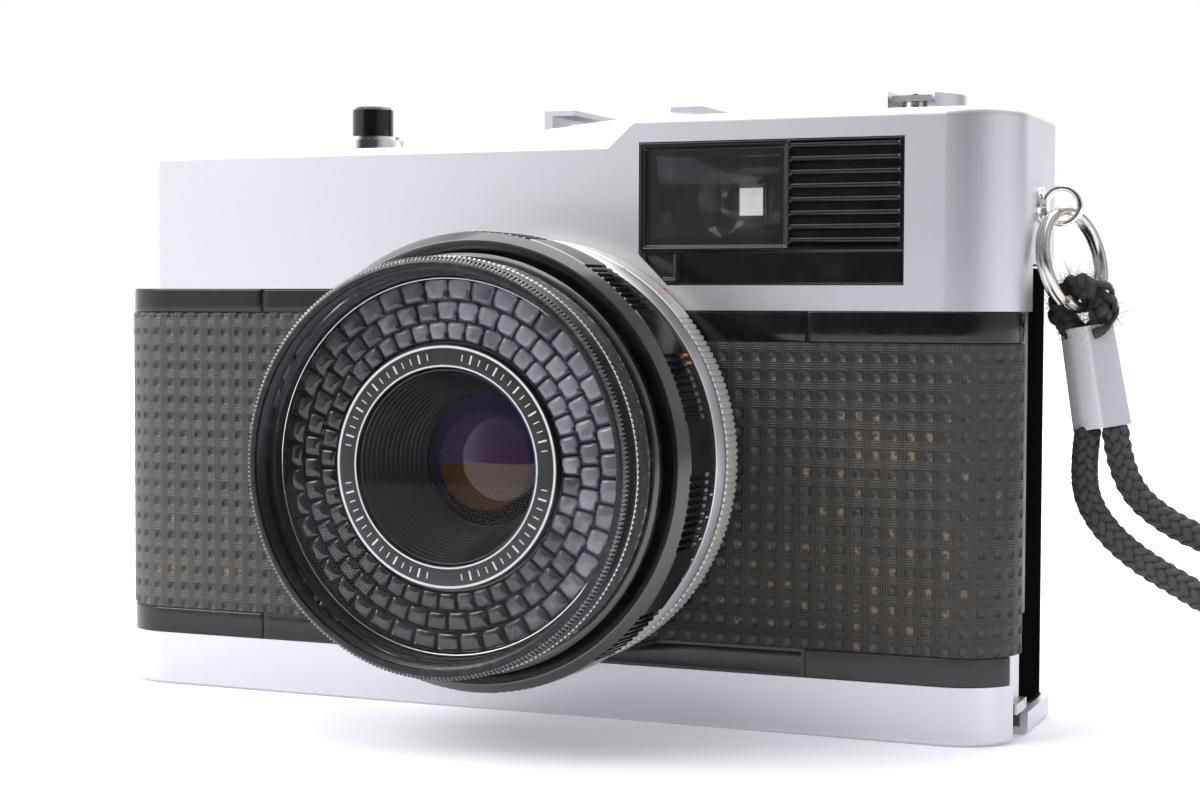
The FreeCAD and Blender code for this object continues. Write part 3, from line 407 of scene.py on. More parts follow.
def braid(path, radius, pitch=11.5, carriers=8, fat=1.0, wobble=0.0):
    """A two-over-two braid of plump yarns laid round a path, its uv along and across each yarn, and
    how near each point is to the crown of its yarn."""
    _, one, two = frames_along(path)
    s = np.r_[0, np.cumsum(np.linalg.norm(np.diff(path, axis=0), axis=1))]
    u = 2 * carriers * s / pitch
    lift, thick = 0.19 * radius, 0.21 * radius
    core = radius - lift - thick
    sides = 8
    a = np.linspace(0, TAU, sides, endpoint=False)
    parts, uvs, crowns = [], [], []
    for turn in (1, -1):
        for k in range(carriers):
            phase = (u + 2 * k) if turn > 0 else (2 * k - u)
            over = np.cos(math.pi / 2 * (phase - 0.5)) * (1 if turn > 0 else -1)
            angle = turn * TAU * s / pitch + TAU * k / carriers
            rad = core + lift * over
            if wobble:
                rad = rad + wobble * RNG.normal(size=len(s)).cumsum() * 0.02
                angle = angle + wobble * RNG.normal(size=len(s)).cumsum() * 0.01
            out = np.cos(angle)[:, None] * one + np.sin(angle)[:, None] * two
            line = path + out * rad[:, None]
            d = np.gradient(line, axis=0)
            d /= np.linalg.norm(d, axis=1)[:, None]
            across = np.cross(d, out)
            across /= np.linalg.norm(across, axis=1)[:, None]
            up = np.cross(across, d)
            half = fat * 0.29 * radius * (1 + 0.18 * over)
            pts = line[:, None] + (np.cos(a)[None, :, None] * across[:, None] * half[:, None, None]
                                   + np.sin(a)[None, :, None] * up[:, None] * thick)
            parts.append((pts.reshape(-1, 3), capped(len(path), sides)))
            along = np.repeat(s[:, None], sides, 1)
            round_ = np.repeat((a / TAU + 0.37 * k)[None], len(s), 0)
            uvs.append(np.stack([along, round_], -1).reshape(-1, 2))
            crowns.append(np.clip(np.sin(a)[None] * (0.55 + 0.45 * over[:, None]), 0, 1).ravel())
    parts.append(tube(path, core * 0.97, 12))
    uvs.append(np.zeros((len(parts[-1][0]), 2)))
    crowns.append(np.zeros(len(parts[-1][0])))
    return join(parts), np.concatenate(uvs), {"crown": np.concatenate(crowns)}


def make_yarn(name, color, wear_and_sheen):
    mat, nt, bsdf = shader(name, color, 0.85, sheen=0.12)
    along, round_, _ = split(nt, node(nt, "ShaderNodeTexCoord").outputs["UV"])
    twist = plus(nt, along, times(nt, round_, -0.9))
    lay = node(nt, "ShaderNodeCombineXYZ", {"X": times(nt, twist, 1.2), "Y": times(nt, round_, 16.0)})
    fibre = noise(nt, lay.outputs[0], 1.0)
    vec = coords(nt)
    patch = patchy(nt, 0.38, 0.7, vec, 0.5, 5, 0.7)
    fine = patchy(nt, 0.45, 0.75, vec, 6.0, 4, 0.7)
    col = mix(nt, fibre, tuple(c * 0.45 for c in color), wear_and_sheen)
    col = mix(nt, times(nt, patch, 0.35), col, tuple(c * 1.3 for c in wear_and_sheen))
    col = mix(nt, times(nt, fine, 0.4), col, tuple(c * 1.6 for c in wear_and_sheen))
    # painted shade: the yarns are painted near black where they dip under one another and on the core, full
    # colour at their crowns
    top = attribute(nt, "crown")
    col = mix(nt, ramp(nt, top, (0.1, 0.12), (0.8, 1)), (0.001, 0.001, 0.001), col)
    feed(bsdf, "Base Color", col)
    bump(nt, bsdf, fibre, 0.9, 0.12)
    return mat


YARN = make_yarn("yarn", (0.012, 0.0125, 0.0125), (0.085, 0.088, 0.088))
YARN_WORN = make_yarn("yarn_worn", (0.014, 0.013, 0.012), (0.075, 0.070, 0.062))


def fibres(path, radius, count, reach, width=0.018):
    """Loose fibre ends standing off a cord."""
    tan, one, two = frames_along(path)
    parts = []
    for _ in range(count):
        i = RNG.integers(1, len(path) - 1)
        a = RNG.uniform(0, TAU)
        out = math.cos(a) * one[i] + math.sin(a) * two[i]
        d = out * RNG.uniform(0.3, 1.0) + tan[i] * RNG.normal() * 1.3
        d /= np.linalg.norm(d)
        bend = RNG.normal(size=3) * 0.7
        length = reach * RNG.uniform(0.3, 1.0)
        t = np.linspace(0, 1, 5)[:, None]
        line = path[i] + out * radius * 0.93 + d * length * t + bend * length * t ** 2 * 0.5
        parts.append(tube(line, np.array([1, 0.9, 0.8, 0.6, 0.3]) * width, 3))
    return join(parts)


CORD_R = 1.6
line = smooth_line(ROUTE, 0.33)
mesh, uv, crowns = braid(line, CORD_R)
cord = piece("wrist_cord", mesh, YARN, "strap", ["strap_cord"], 60, uv, crowns)
cord_fibres = piece("wrist_cord_fibres", fibres(line, CORD_R, 520, 1.1), YARN, "strap", (), 60)


# ---- leatherette
PIT_S, PIT_Z, PIT_DEPTH = 2.0, 2.15, 0.3
FINE_LINE, SHEET = 0.27, 0.49
LENS_HOLE, LENS_HOLE_Y = 22.5, -13


def along_front(sign, x0, face, s):
    """Point and outward direction a way s along the front of the body and round one end of it."""
    radius = -7.1 - face
    run = abs((48.5 if sign > 0 else -52.5) - x0)
    s = np.asarray(s, float)
    a = np.clip((s - run) / radius, 0, math.pi / 2)
    x = x0 + sign * (np.minimum(s, run) + radius * np.sin(a))
    y = face + radius * (1 - np.cos(a)) + np.maximum(s - run - radius * math.pi / 2, 0)
    return np.stack([x, y, 0 * a], -1), np.stack([sign * np.sin(a), -np.cos(a), 0 * a], -1)


def make_leather():
    """Fine woven lines between the pits, dirt in some pits and a brown film; painted sheen at the ends,
    painted highlights in the pits.
    """
    mat, nt, bsdf = shader("leatherette", grey(0.03), 0.42)
    lines = []
    for way, pitch in zip(split(nt, node(nt, "ShaderNodeTexCoord").outputs["UV"]), (PIT_S, PIT_Z)):
        wave_ = math_node(nt, "SINE", times(nt, way, TAU / FINE_LINE))
        cell = math_node(nt, "FRACT", math_node(nt, "DIVIDE", way, pitch))
        off = math_node(nt, "ABSOLUTE", math_node(nt, "SUBTRACT", cell, 0.5))
        between = ramp(nt, off, (0.22, 0.12), (0.3, 1))
        lines.append(times(nt, wave_, between))
    height = plus(nt, *lines)
    vec = coords(nt)
    broad = noise(nt, vec, 0.12, 4)
    fine = noise(nt, vec, 3.5, 4)
    pit = attribute(nt, "pit")
    dirt = attribute(nt, "dirt")
    film = attribute(nt, "film")
    col = mix(nt, broad, (0.006, 0.006, 0.0065), (0.013, 0.0125, 0.012))
    # painted sheen: the panels are painted paler towards both ends, most at the far left
    wear_and_sheen = ramp(nt, plus(nt, times(nt, split(nt, vec)["X"], 0.0077), 0.5),
                (0.0, 0.8), (0.27, 0.2), (0.36, 0.0), (0.86, 0.0), (0.95, 0.4))
    col = mix(nt, wear_and_sheen, col, (0.105, 0.103, 0.10))
    ridge = times(nt, math_node(nt, "MAXIMUM", height, 0.0), 0.22)
    col = mix(nt, ridge, col, (0.088, 0.083, 0.074))
    brown = times(nt, times(nt, film, fine), math_node(nt, "MAXIMUM", height, 0.15))
    col = mix(nt, brown, col, (0.26, 0.185, 0.095))
    # painted highlight: the pits are painted paler, for light catching their lower walls
    col = mix(nt, times(nt, pit, 0.8), col, (0.075, 0.073, 0.071))
    crumbs = patchy(nt, 0.42, 0.55, vec, 1.9, 3)
    col = mix(nt, times(nt, dirt, crumbs), col, (0.24, 0.185, 0.105))
    feed(bsdf, "Base Color", col)
    rough = plus(nt, times(nt, fine, 0.22), 0.32)
    feed(bsdf, "Roughness", math_node(nt, "MAXIMUM", rough, times(nt, dirt, 0.8)))
    bump(nt, bsdf, plus(nt, height, fine), 0.75, 0.05)
    return mat


def covering(name, node_name, body, place, length, z0, z1, seed, soiled, flip, step=0.165):
    """Embossed sheet: rows of small rounded-square pits, its rim turned in to the casting."""
    s = np.linspace(0, length, int(length / step) + 1)
    z = np.linspace(z0, z1, int((z1 - z0) / step) + 1)
    s, z = np.r_[0, s, length], np.r_[z0, z, z1]
    ns, nz = len(s), len(z)
    S, Z = np.meshgrid(s, z, indexing="ij")
    cu, cv = S / PIT_S, (Z - z0 + 0.4) / PIT_Z
    iu, iv = np.minimum(cu.astype(int), int(length / PIT_S)), cv.astype(int)
    rng = np.random.default_rng(seed)
    size = 1 + 0.16 * (rng.random((iu.max() + 1, iv.max() + 1))[iu, iv] - 0.5)
    chance = rng.random((iu.max() + 1, iv.max() + 1))[iu, iv]
    du, dv = (cu % 1 - 0.5) * PIT_S, (cv % 1 - 0.5) * PIT_Z
    q = ((np.abs(du) / (0.42 * size)) ** 4 + (np.abs(dv) / (0.47 * size)) ** 4) ** 0.25
    t = np.clip((1.2 - q) / 0.5, 0, 1)
    pit = t * t * (3 - 2 * t)
    rim = np.minimum(np.minimum(S, length - S), np.minimum(Z - z0, z1 - Z))
    depth = PIT_DEPTH * pit * (0.85 + 0.3 * chance) + 0.2 * np.clip(1 - rim / 0.4, 0, 1) ** 2
    depth[[0, -1], :] = depth[:, [0, -1]] = SHEET
    base, out = place(S.ravel())
    pts = base - out * depth.ravel()[:, None]
    pts[:, 2] += Z.ravel()
    where = soiled(base[:, 0].reshape(ns, nz), Z)
    dirt = np.where(chance < where, 1.0, 0.0) * np.clip((1.0 - q) / 0.3, 0, 1)
    faces = grid_faces(ns, nz)
    if flip:
        faces = faces[:, ::-1]
    away = np.hypot(pts[:, 0], pts[:, 2] - LENS_Z)
    mesh, used = without(pts, faces, (away < LENS_HOLE) & (pts[:, 1] < LENS_HOLE_Y))
    uv = np.stack([S.ravel(), (Z - z0 + 0.4).ravel()], -1)[used]
    return piece(name, mesh, LEATHER, body, [node_name], 50, uv,
                 {"pit": pit.ravel()[used], "dirt": dirt.ravel()[used], "film": where.ravel()[used]})


def blob(x, z, cx, cz, rx, rz):
    return np.exp(-((x - cx) / rx) ** 2 - ((z - cz) / rz) ** 2)


def right_soil(x, z):
    """Share of the pits on the right panel that hold dirt, under the fingers' places."""
    return np.clip(0.55 * blob(x, z, 41, 32, 7, 5) + 0.5 * blob(x, z, 40, 20, 13, 7)
                   + 0.3 * blob(x, z, 26, 17, 6, 4) + 0.3 * blob(x, z, 45, 13, 8, 4), 0, 0.6)


def left_soil(x, z):
    return np.clip(0.35 * blob(x, z, -51, 15, 7, 3.5) + 0.12 * blob(x, z, -45, 22, 8, 6), 0, 0.4)


def along_door(s):
    """Point and outward direction a way s along the back of the door."""
    return np.stack([46.5 - s, 14.5 + 0 * s, 0 * s], -1), np.stack([0 * s, 1 + 0 * s, 0 * s], -1)


LEATHER = make_leather()
covering("leatherette_right_embossed", "leatherette_right", "camera_body",
         lambda s: along_front(1, -2.0, -14.6, s), 62.2, 9.8, 44.3, 11, right_soil, False)
covering("leatherette_left_embossed", "leatherette_left", "camera_body",
         lambda s: along_front(-1, -2.0, -14.6, s), 64.3, 9.8, 47.35, 12, left_soil, True)
covering("door_leatherette_embossed", "door_leatherette", "back_door", along_door, 99.5, 5.0, 50.3, 13,
         lambda x, z: 0.12 + 0 * x, False, 0.2)


# ---- trims above and below the leatherette
def band(name, sign, x0, face, length, z0, z1, mat=GLOSS, nodes=(), soft=0.22, back=0.44):
    """Moulded strip with softened edges, laid along the front and round the end."""
    near = np.array([0, 0.15, 0.4, 0.7, 1.0]) * soft
    s = np.r_[near, np.linspace(soft, length - soft, int(length / 0.6))[1:-1], (length - near)[::-1]]
    end = np.minimum(s, length - s)
    sink = soft - np.sqrt(np.maximum(soft ** 2 - np.maximum(soft - end, 0) ** 2, 0))
    a = np.linspace(0, math.pi / 2, 5)
    curve_out, curve_in = soft * (1 - np.sin(a)), soft * (1 - np.cos(a))
    section = [(-back, z0)] + [(-o, z0 + i) for o, i in zip(curve_out, curve_in)]
    section += [(-o, z1 - i) for o, i in zip(curve_out[::-1], curve_in[::-1])] + [(-back, z1)]
    base, out = along_front(sign, x0, face, s)
    m = len(section)
    pts = np.zeros((len(s), m, 3))
    for k, (o, z) in enumerate(section):
        push = -back if o == -back else o - sink
        pts[:, k] = base + out * np.broadcast_to(push, s.shape)[:, None]
        pts[:, k, 2] = z
    faces = capped(len(s), m)
    if sign < 0:
        faces = [f[::-1] for f in faces]
    return piece(name, (pts.reshape(-1, 3), faces), mat, "camera_body", nodes, 40)


TRIM_SATIN = make_black("trim_satin", (0.028, 0.028, 0.031), 0.32, amount=0.6, grain=0.008)
TRIM_FACE, PLATE_FACE = -14.55, -14.38
band("trim_upper_left", -1, -37.65, TRIM_FACE, 28.7, 47.37, 50.28, nodes=["front_trims"])
band("trim_lower_left", -1, -37.65, TRIM_FACE, 28.7, 6.62, 9.78)
band("trim_upper_right", 1, 32.95, TRIM_FACE, 26.9, 44.32, 47.83)
band("trim_lower_right", 1, 32.95, TRIM_FACE, 24.2, 6.62, 9.78, TRIM_SATIN)
band("plate_upper_left", -1, -2.0, PLATE_FACE, 35.55, 47.33, 50.32, soft=0.3)
band("plate_upper_right", 1, -2.0, PLATE_FACE, 34.85, 44.28, 47.87, soft=0.3)
band("plate_lower", 1, -37.55, PLATE_FACE, 70.4, 6.58, 9.82, soft=0.5)


# ---- finder bezel
def make_bezel():
    x0, x1, z0, z1 = 12.65, 43.95, 50.7, 67.1
    cut, soft, front, thick = 3.55, 0.28, -14.55, 0.92
    t = np.linspace(0, 1, 330)
    zz = np.linspace(z0, z1, 174)
    t, zz = np.r_[0, t, 1], np.r_[z0, zz, z1]
    T, Z = np.meshgrid(t, zz, indexing="ij")
    left = x0 + np.clip(z0 + cut - Z, 0, cut)
    X = left + T * (x1 - left)

    def inside(a0, a1, b0, b1):
        """Distance inwards from the edges of a rectangle; negative outside."""
        return np.minimum(np.minimum(X - a0, a1 - X), np.minimum(Z - b0, b1 - Z))

    def ease(e, width):
        e = np.clip(e / width, 0, 1)
        return e * e * (3 - 2 * e)
    edge = np.minimum(np.minimum(X - left, x1 - X), np.minimum(Z - z0, z1 - Z))
    depth = soft - np.sqrt(np.maximum(soft ** 2 - np.maximum(soft - edge, 0) ** 2, 0))
    window, peep = inside(13.45, 30.05, 55.3, 66.2), inside(13.4, 16.9, 51.6, 54.2)
    depth += 0.36 * ease(window + 0.42, 0.42) + 0.36 * ease(peep + 0.3, 0.3)
    well = inside(30.75, 43.45, 55.0, 66.85)
    rib_pitch = 1.515
    crest = (Z - 55.75) / rib_pitch
    rod = np.abs((crest + 0.5) % 1 - 0.5) * rib_pitch
    rib = np.sqrt(np.clip(1 - (rod / 0.42) ** 2, 0, 1)) * ((crest > -0.4) & (crest < 7.4))
    depth += 0.62 * ease(well, 0.14) * (1 - 0.93 * rib)
    bar = inside(17.9, 44.5, 50.0, 54.6)
    depth += 0.1 * ease(bar, 0.15)
    depth += 0.05 * np.exp(-(np.minimum(np.abs(X - 30.45), 9) / 0.08) ** 2) * (Z > 54.9)
    depth[[0, -1], :] = depth[:, [0, -1]] = thick
    pts = np.stack([X, front + depth, Z], -1).reshape(-1, 3)
    hole = ((window > 0.02) | (peep > 0.02)).ravel()
    mesh, _ = without(pts, grid_faces(len(t), len(zz)), hole)
    piece("finder_bezel_moulded", mesh, GLOSS, "camera_body", ["finder_bezel"], 50)


make_bezel()


def make_eye_mask(outer, inner, front, back):
    """Flat frame round the eyepiece's opening; outer and inner are x and z limits."""
    loops = []
    for (x0, x1, z0, z1), y in ((outer, front), (inner, front), (inner, back), (outer, back)):
        loops += [(x0, y, z0), (x1, y, z0), (x1, y, z1), (x0, y, z1)]
    mesh = loops, grid_faces(4, 4, True, True)[:, ::-1]
    piece("finder_eye_mask", mesh, MATT, "camera_body", (), 30)


make_eye_mask((14.2, 19.4, 58.6, 63.5), (15.9, 19.0, 59.7, 63.15), 11.52, 11.58)


def finder_lens(name, x0, x1, z0, z1, y, sag, mat):
    """Shallow lens with a round curve, cut to a rectangle."""
    n, thick = 24, 1.2
    u, v = np.meshgrid(np.linspace(-1, 1, n), np.linspace(-1, 1, n), indexing="ij")
    X, Z = (x0 + x1) / 2 + u * (x1 - x0) / 2, (z0 + z1) / 2 + v * (z1 - z0) / 2
    parts = []
    for side in (0, 1):
        Y = y + thick * side + (1 - 2 * side) * sag * (u ** 2 + 0.6 * v ** 2)
        f = grid_faces(n, n)
        parts.append((np.stack([X, Y, Z], -1).reshape(-1, 3), f if side == 0 else f[:, ::-1]))
    pts, faces = join(parts)
    grid = np.arange(n * n).reshape(n, n)
    rim = np.r_[grid[:, 0], grid[-1, 1:], grid[-2::-1, -1], grid[0, -2:0:-1]].tolist()
    faces += [[a + n * n, b + n * n, b, a] for a, b in zip(rim, rim[1:] + rim[:1])]
    return piece(name, (pts, faces), mat, "camera_body", (), 40)


FINDER_GLASS = make_clear("finder_glass", (0.85, 0.88, 0.92), 1.18, 0.03, face=0.03)
FINDER_HAZE = make_clear("finder_haze", (0.80, 0.82, 0.86), 1.35, 0.12, face=0.28)
finder_lens("finder_front_lens", 14.3, 29.3, 56.1, 65.5, -11.0, -1.4, FINDER_GLASS)
finder_lens("finder_rear_lens", 14.4, 21.0, 58.2, 64.0, 8.2, 0.9, FINDER_HAZE)


# ---- lens rings
def clock(t):
    """Degrees clockwise from the top, as seen from the front."""
    return np.degrees(t) % 360


def teeth(t, count, duty=0.5):
    """1 on a tooth and 0 in a gap, with sloping flanks."""
    share = t / TAU * count % 1
    return np.clip((0.5 * duty - np.abs(share - 0.5)) / 0.12 + 0.5, 0, 1)


def make_ring_metal(name, color, rough, metallic, grime=(0.5, 0.45, 0.36), share=0.25):
    """Metal or worn black finish with soft grime and small spots."""
    mat, nt, bsdf = shader(name, color, rough, metallic=metallic)
    vec = coords(nt)
    soil = patchy(nt, 0.5, 0.72, vec, 1.1, 6, 0.7)
    spots = patchy(nt, 0.66, 0.7, vec, 2.6, 2)
    col = mix(nt, times(nt, soil, share), color, grime)
    col = mix(nt, times(nt, spots, share * 2), col, tuple(c * 0.6 for c in grime))
    feed(bsdf, "Base Color", col)
    fine = noise(nt, vec, 8.0, 2)
    feed(bsdf, "Roughness", plus(nt, times(nt, fine, 0.16), rough - 0.08))
    bump(nt, bsdf, fine, 0.3, 0.015)
    return mat


FILTER_BLACK = make_ring_metal("filter_black", (0.020, 0.020, 0.024), 0.3, 0.5, (0.25, 0.24, 0.22), 0.12)
TEETH_GREY = make_ring_metal("filter_teeth", (0.16, 0.16, 0.165), 0.3, 0.8, (0.5, 0.5, 0.5), 0.5)
WORN_EDGE = make_ring_metal("worn_edge", (0.62, 0.62, 0.62), 0.3, 1.0)
GRIP_BEIGE = make_ring_metal("ring_grip", (0.88, 0.86, 0.81), 0.45, 0.45, (0.40, 0.28, 0.15), 0.35)
SCUFFED = make_ring_metal("scuffed_ring", (0.085, 0.09, 0.10), 0.4, 0.7, (0.30, 0.30, 0.30), 0.8)
WORN_RIM = make_ring_metal("worn_rim", (0.05, 0.05, 0.055), 0.45, 0.7, (0.62, 0.58, 0.48), 0.9)
WHITE_MARK = make_black("white_mark", (0.85, 0.85, 0.86), 0.4, amount=0.2)
ORANGE_MARK = make_black("orange_mark", (0.75, 0.22, 0.03), 0.4, amount=0.2)
RED_MARK = make_black("red_mark", (0.72, 0.09, 0.06), 0.4, amount=0.2)


def make_cover_index():
    """The red wedge on the cover that the scales are read against."""
    front, back = -14.53, -14.48
    verts = [(x, y, z) for y in (front, back) for x, z in ((15.0, 50.62), (16.3, 50.25), (15.05, 49.85))]
    faces = [[0, 1, 2], [5, 4, 3], [0, 3, 4, 1], [1, 4, 5, 2], [2, 5, 3, 0]]
    piece("cover_index", (verts, faces), RED_MARK, "camera_body", ())


make_cover_index()

FILTER_TEETH, REAR_TEETH, GRIP_TEETH = 290, 240, 208


def filter_wave(p, t):
    return -0.24 * (1 - teeth(t, FILTER_TEETH, 0.55)) if p[0] > 22.25 else 0


def rear_wave(p, t):
    return -0.13 * (1 - teeth(t, REAR_TEETH)) if p[0] > 22.3 else 0


ring("filter_teeth", [(22.0, -42.5), (22.32, -42.42), (22.6, -42.1), (22.6, -41.9), (22.0, -41.9)],
     FILTER_TEETH * 6, TEETH_GREY, radius=0.05, wave=filter_wave)
ring("filter_ring_front", [(21.45, -42.6), (21.95, -42.6), (22.15, -42.5), (22.2, -41.85), (22.58, -41.8),
                           (22.6, -39.62), (21.7, -39.62), (21.7, -36.6), (20.6, -36.6), (20.6, -39.5),
                           (21.0, -39.5), (21.0, -40.9), (21.2, -40.9), (21.2, -41.1), (21.45, -41.2),
                           (21.2, -41.35), (21.45, -41.5), (21.2, -41.65), (21.45, -41.8), (21.2, -41.95),
                           (21.45, -42.1)],
     720, FILTER_BLACK, nodes=["filter_ring"], radius=0.07)
ring("filter_rear_edge", [(21.72, -39.62), (22.6, -39.62), (22.74, -39.48), (22.6, -39.3), (21.72, -39.3)],
     REAR_TEETH * 6, WORN_EDGE, radius=0.04, wave=rear_wave)
ring("retaining_edge", [(20.24, -38.6), (20.3, -38.66), (20.4, -38.66), (20.4, -38.3), (20.24, -38.3)],
     360, BRIGHT, radius=0.02)
ring("worn_rim", [(21.9, -35.75), (22.3, -35.75), (22.42, -35.6), (22.42, -35.4), (22.3, -35.25),
                  (21.9, -35.25)],
     720, WORN_RIM, radius=0.05)
ring("front_ring_body", [(20.75, -36.5), (20.75, -36.3), (20.75, -35.3), (22.2, -35.3), (22.3, -35.4),
                         (22.3, -39.1), (22.15, -39.28), (21.75, -39.28), (21.75, -36.5)],
     720, SCUFFED, nodes=["lens_front_ring"])
ring("asa_lip", [(21.0, -34.2), (21.0, -35.05), (22.8, -35.05), (23.15, -34.7), (23.15, -33.7),
                 (22.9, -33.45), (22.1, -33.4), (21.0, -33.4)],
     720, RING_GLOSS, "asa_ring", ["asa_ring"], radius=0.12)
ring("asa_groove", [(21.0, -33.38), (22.1, -33.38), (22.1, -29.3), (22.35, -29.05), (22.3, -28.97),
                    (21.0, -28.97)],
     720, RING_BLACK, "asa_ring")

# Clock angles between which the focusing ring is cut into teeth, and the pitch of the teeth, in degrees.
PATCHES = ((31, 48), (61, 79), (91, 110), (128, 146), (160, 173), (185, 204), (216, 234), (247, 265),
           (278, 297), (321, 340), (358, 376))
TOOTH = 1.95
GAP_DEPTH = 0.5


def focus_wave(p, t):
    """Blocks of cut grip teeth round the focusing ring, with plain stretches between."""
    r, y = p
    if r < 25.2 or y > -25.55 or y < -31.75:
        return 0
    c = clock(t)
    rise = np.zeros_like(t)
    for first, last in PATCHES:
        away = (c - first) % 360
        on = away < round((last - first) / TOOTH) * TOOTH
        gap = np.clip((0.3 - np.abs((away / TOOTH) % 1 - 0.5)) / 0.08 + 0.5, 0, 1)
        rise = np.where(on, -GAP_DEPTH * gap, rise)
    return rise


ring("focus_ring_body", [(22.75, -32.5), (24.4, -32.95), (24.6, -32.95), (25.5, -31.75), (25.6, -31.5),
                         (25.6, -25.75), (25.3, -25.3), (24.75, -24.75), (24.6, -24.65), (22.4, -24.65),
                         (22.4, -28.6), (22.75, -28.7)],
     2160, RING_GLOSS, "focus_ring", ["focus_ring"], radius=0.06, wave=focus_wave, angle=30)
ring("scale_ring", [(22.6, -24.5), (24.5, -24.5), (24.55, -24.3), (24.45, -20.6), (24.3, -20.45),
                    (22.6, -20.45)],
     720, RING_BLACK, "aperture_ring", ["aperture_scale"], radius=0.05)


def grip_wave(p, t):
    """Fine teeth, except across the top, where the ring is plain."""
    c = clock(t)
    toothed = (c > 50) & (c < 338)
    return np.where(toothed, -0.2 * (1 - teeth(t, GRIP_TEETH, 0.6)), -0.02) if p[0] >= 24.95 else 0


ring("aperture_ring_bevel", [(22.5, -20.4), (24.28, -20.4), (24.4, -20.3), (25.02, -19.1), (25.06, -18.82),
                             (22.5, -18.82)],
     720, RING_SILVER, "aperture_ring", ["aperture_ring"], 0.08)
ring("aperture_ring_grip", [(22.5, -18.8), (25.08, -18.8), (25.2, -18.65), (25.2, -15.4), (24.95, -15.14),
                            (22.5, -15.14)],
     GRIP_TEETH * 8, GRIP_BEIGE, "aperture_ring", (), 0.06, grip_wave)


def on_ring(r, y, clock_deg, size_t, size_y):
    """A small painted mark: a thin plate wrapped on a ring at a clock angle."""
    n, height = 5, 0.03
    a = np.radians(clock_deg) + np.linspace(-0.5, 0.5, n) * size_t / r
    pts = [(rr * math.sin(ang), y + k * size_y, LENS_Z + rr * math.cos(ang))
           for rr in (r, r + height) for ang in a for k in (-0.5, 0.5)]
    f = [[0, 1, 2 * n + 1, 2 * n], [2 * n - 2, 4 * n - 2, 4 * n - 1, 2 * n - 1]]
    for lo in range(0, 2 * n - 2, 2):
        hi = lo + 2 * n
        f += [[hi, hi + 1, hi + 3, hi + 2], [lo, lo + 2, lo + 3, lo + 1], [lo, hi, hi + 2, lo + 2],
              [lo + 1, lo + 3, hi + 3, hi + 1]]
    return pts, f


def marks_on(name, mat, body, marks):
    piece(name, join([on_ring(*m) for m in marks]), mat, body, ())


marks_on("aperture_index", ORANGE_MARK, "aperture_ring", [(24.5, -22.4, c, 0.35, 1.7) for c in (60.6, 62.9)])
marks_on("aperture_ticks", WHITE_MARK, "aperture_ring",
         [(24.47, -21.6, c, 0.2, 0.9) for c in range(98, 129, 6)])
marks_on("speed_ticks", WHITE_MARK, "asa_ring",
         [(22.1, -31.2, 40 + 5 * k, 0.16, 0.9 if k % 2 else 1.5) for k in range(6)])


# ---- meter window, name ring and front cell
BUBBLE_ROWS = ((19.1, 1.2, 0.0), (16.8, 1.13, 0.5), (14.62, 1.08, 0.0))
BUBBLES = 43


def bubbles(R, T):
    """Rows of clear pillow lenses: their height, and the painted light at each point: a pale face on each
    bubble, with painted shade over its lower edge and a dark rim, more of it on the left.
    """
    rng = np.random.default_rng(5)
    h, painted_light = np.zeros_like(R), np.zeros_like(R)
    for rc, hr, lead in BUBBLE_ROWS:
        u = T / TAU * BUBBLES + lead
        i = np.floor(u).astype(int) % BUBBLES
        b = (u % 1 - 0.5) / 0.5
        a = (R - rc) / hr
        tall = (1 + 0.12 * rng.normal(size=BUBBLES))[i]
        dome = np.sqrt(np.clip(1 - np.abs(a) ** 4, 0, 1) * np.clip(1 - np.abs(b) ** 4, 0, 1))
        here = np.abs(a) < 1
        h = np.where(here, 0.55 * tall * dome, h)
        # painted shade: darkens the lower edge of each bubble, more of it on the left of the ring
        drop = a * hr * np.cos(T) - b * math.pi * R / BUBBLES * np.sin(T)
        reach = (a ** 4 + b ** 4) ** 0.25
        dim = np.clip(-0.85 * np.sin(T) - 0.4 * np.cos(T), 0, 1)
        shadow = np.clip((reach - 0.62 + 0.5 * dim) / 0.12, 0, 1)
        shadow *= np.clip((0.1 + 0.45 * dim - drop) / 0.3, 0, 1)
        shade = (0.8 + 0.3 * rng.normal(size=BUBBLES)[i]) * (1 - 0.95 * shadow)
        painted_light = np.where(here, shade * np.clip((0.98 - reach) / 0.1, 0, 1), painted_light)
    return h, np.clip(painted_light, 0, 1.3)


def make_bubble_glass():
    """Clear plastic over a dark cell, with light and shade painted in: the bubbles' lit faces pale, the rest
    dark, and all of it paler towards the top and the right.
    """
    mat, nt, bsdf = shader("bubble_plastic", (0.03, 0.03, 0.034), 0.06, ior=1.6)
    vec = coords(nt)
    x, _, z = split(nt, vec)
    # painted light: the plastic is painted paler towards the right and the top
    side = plus(nt, times(nt, x, 0.021), times(nt, math_node(nt, "SUBTRACT", z, LENS_Z), 0.017))
    haze_and_light = plus(nt, side, noise(nt, vec, 0.35, 4, 0.6))
    painted_light = attribute(nt, "painted_light")
    far = ramp(nt, haze_and_light, (0.25, (0.010, 0.010, 0.013)), (0.5, (0.055, 0.056, 0.064)),
               (0.85, (0.27, 0.273, 0.31)))
    near = ramp(nt, haze_and_light, (0.3, (0.003, 0.003, 0.004)), (0.85, (0.035, 0.036, 0.043)))
    feed(bsdf, "Base Color", mix(nt, painted_light, near, far))
    feed(bsdf, "Roughness", ramp(nt, noise(nt, vec, 0.35, 4), (0.45, 0.04), (0.8, 0.14)))
    bump(nt, bsdf, noise(nt, vec, 0.9, 1), 0.05, 0.02)
    return mat


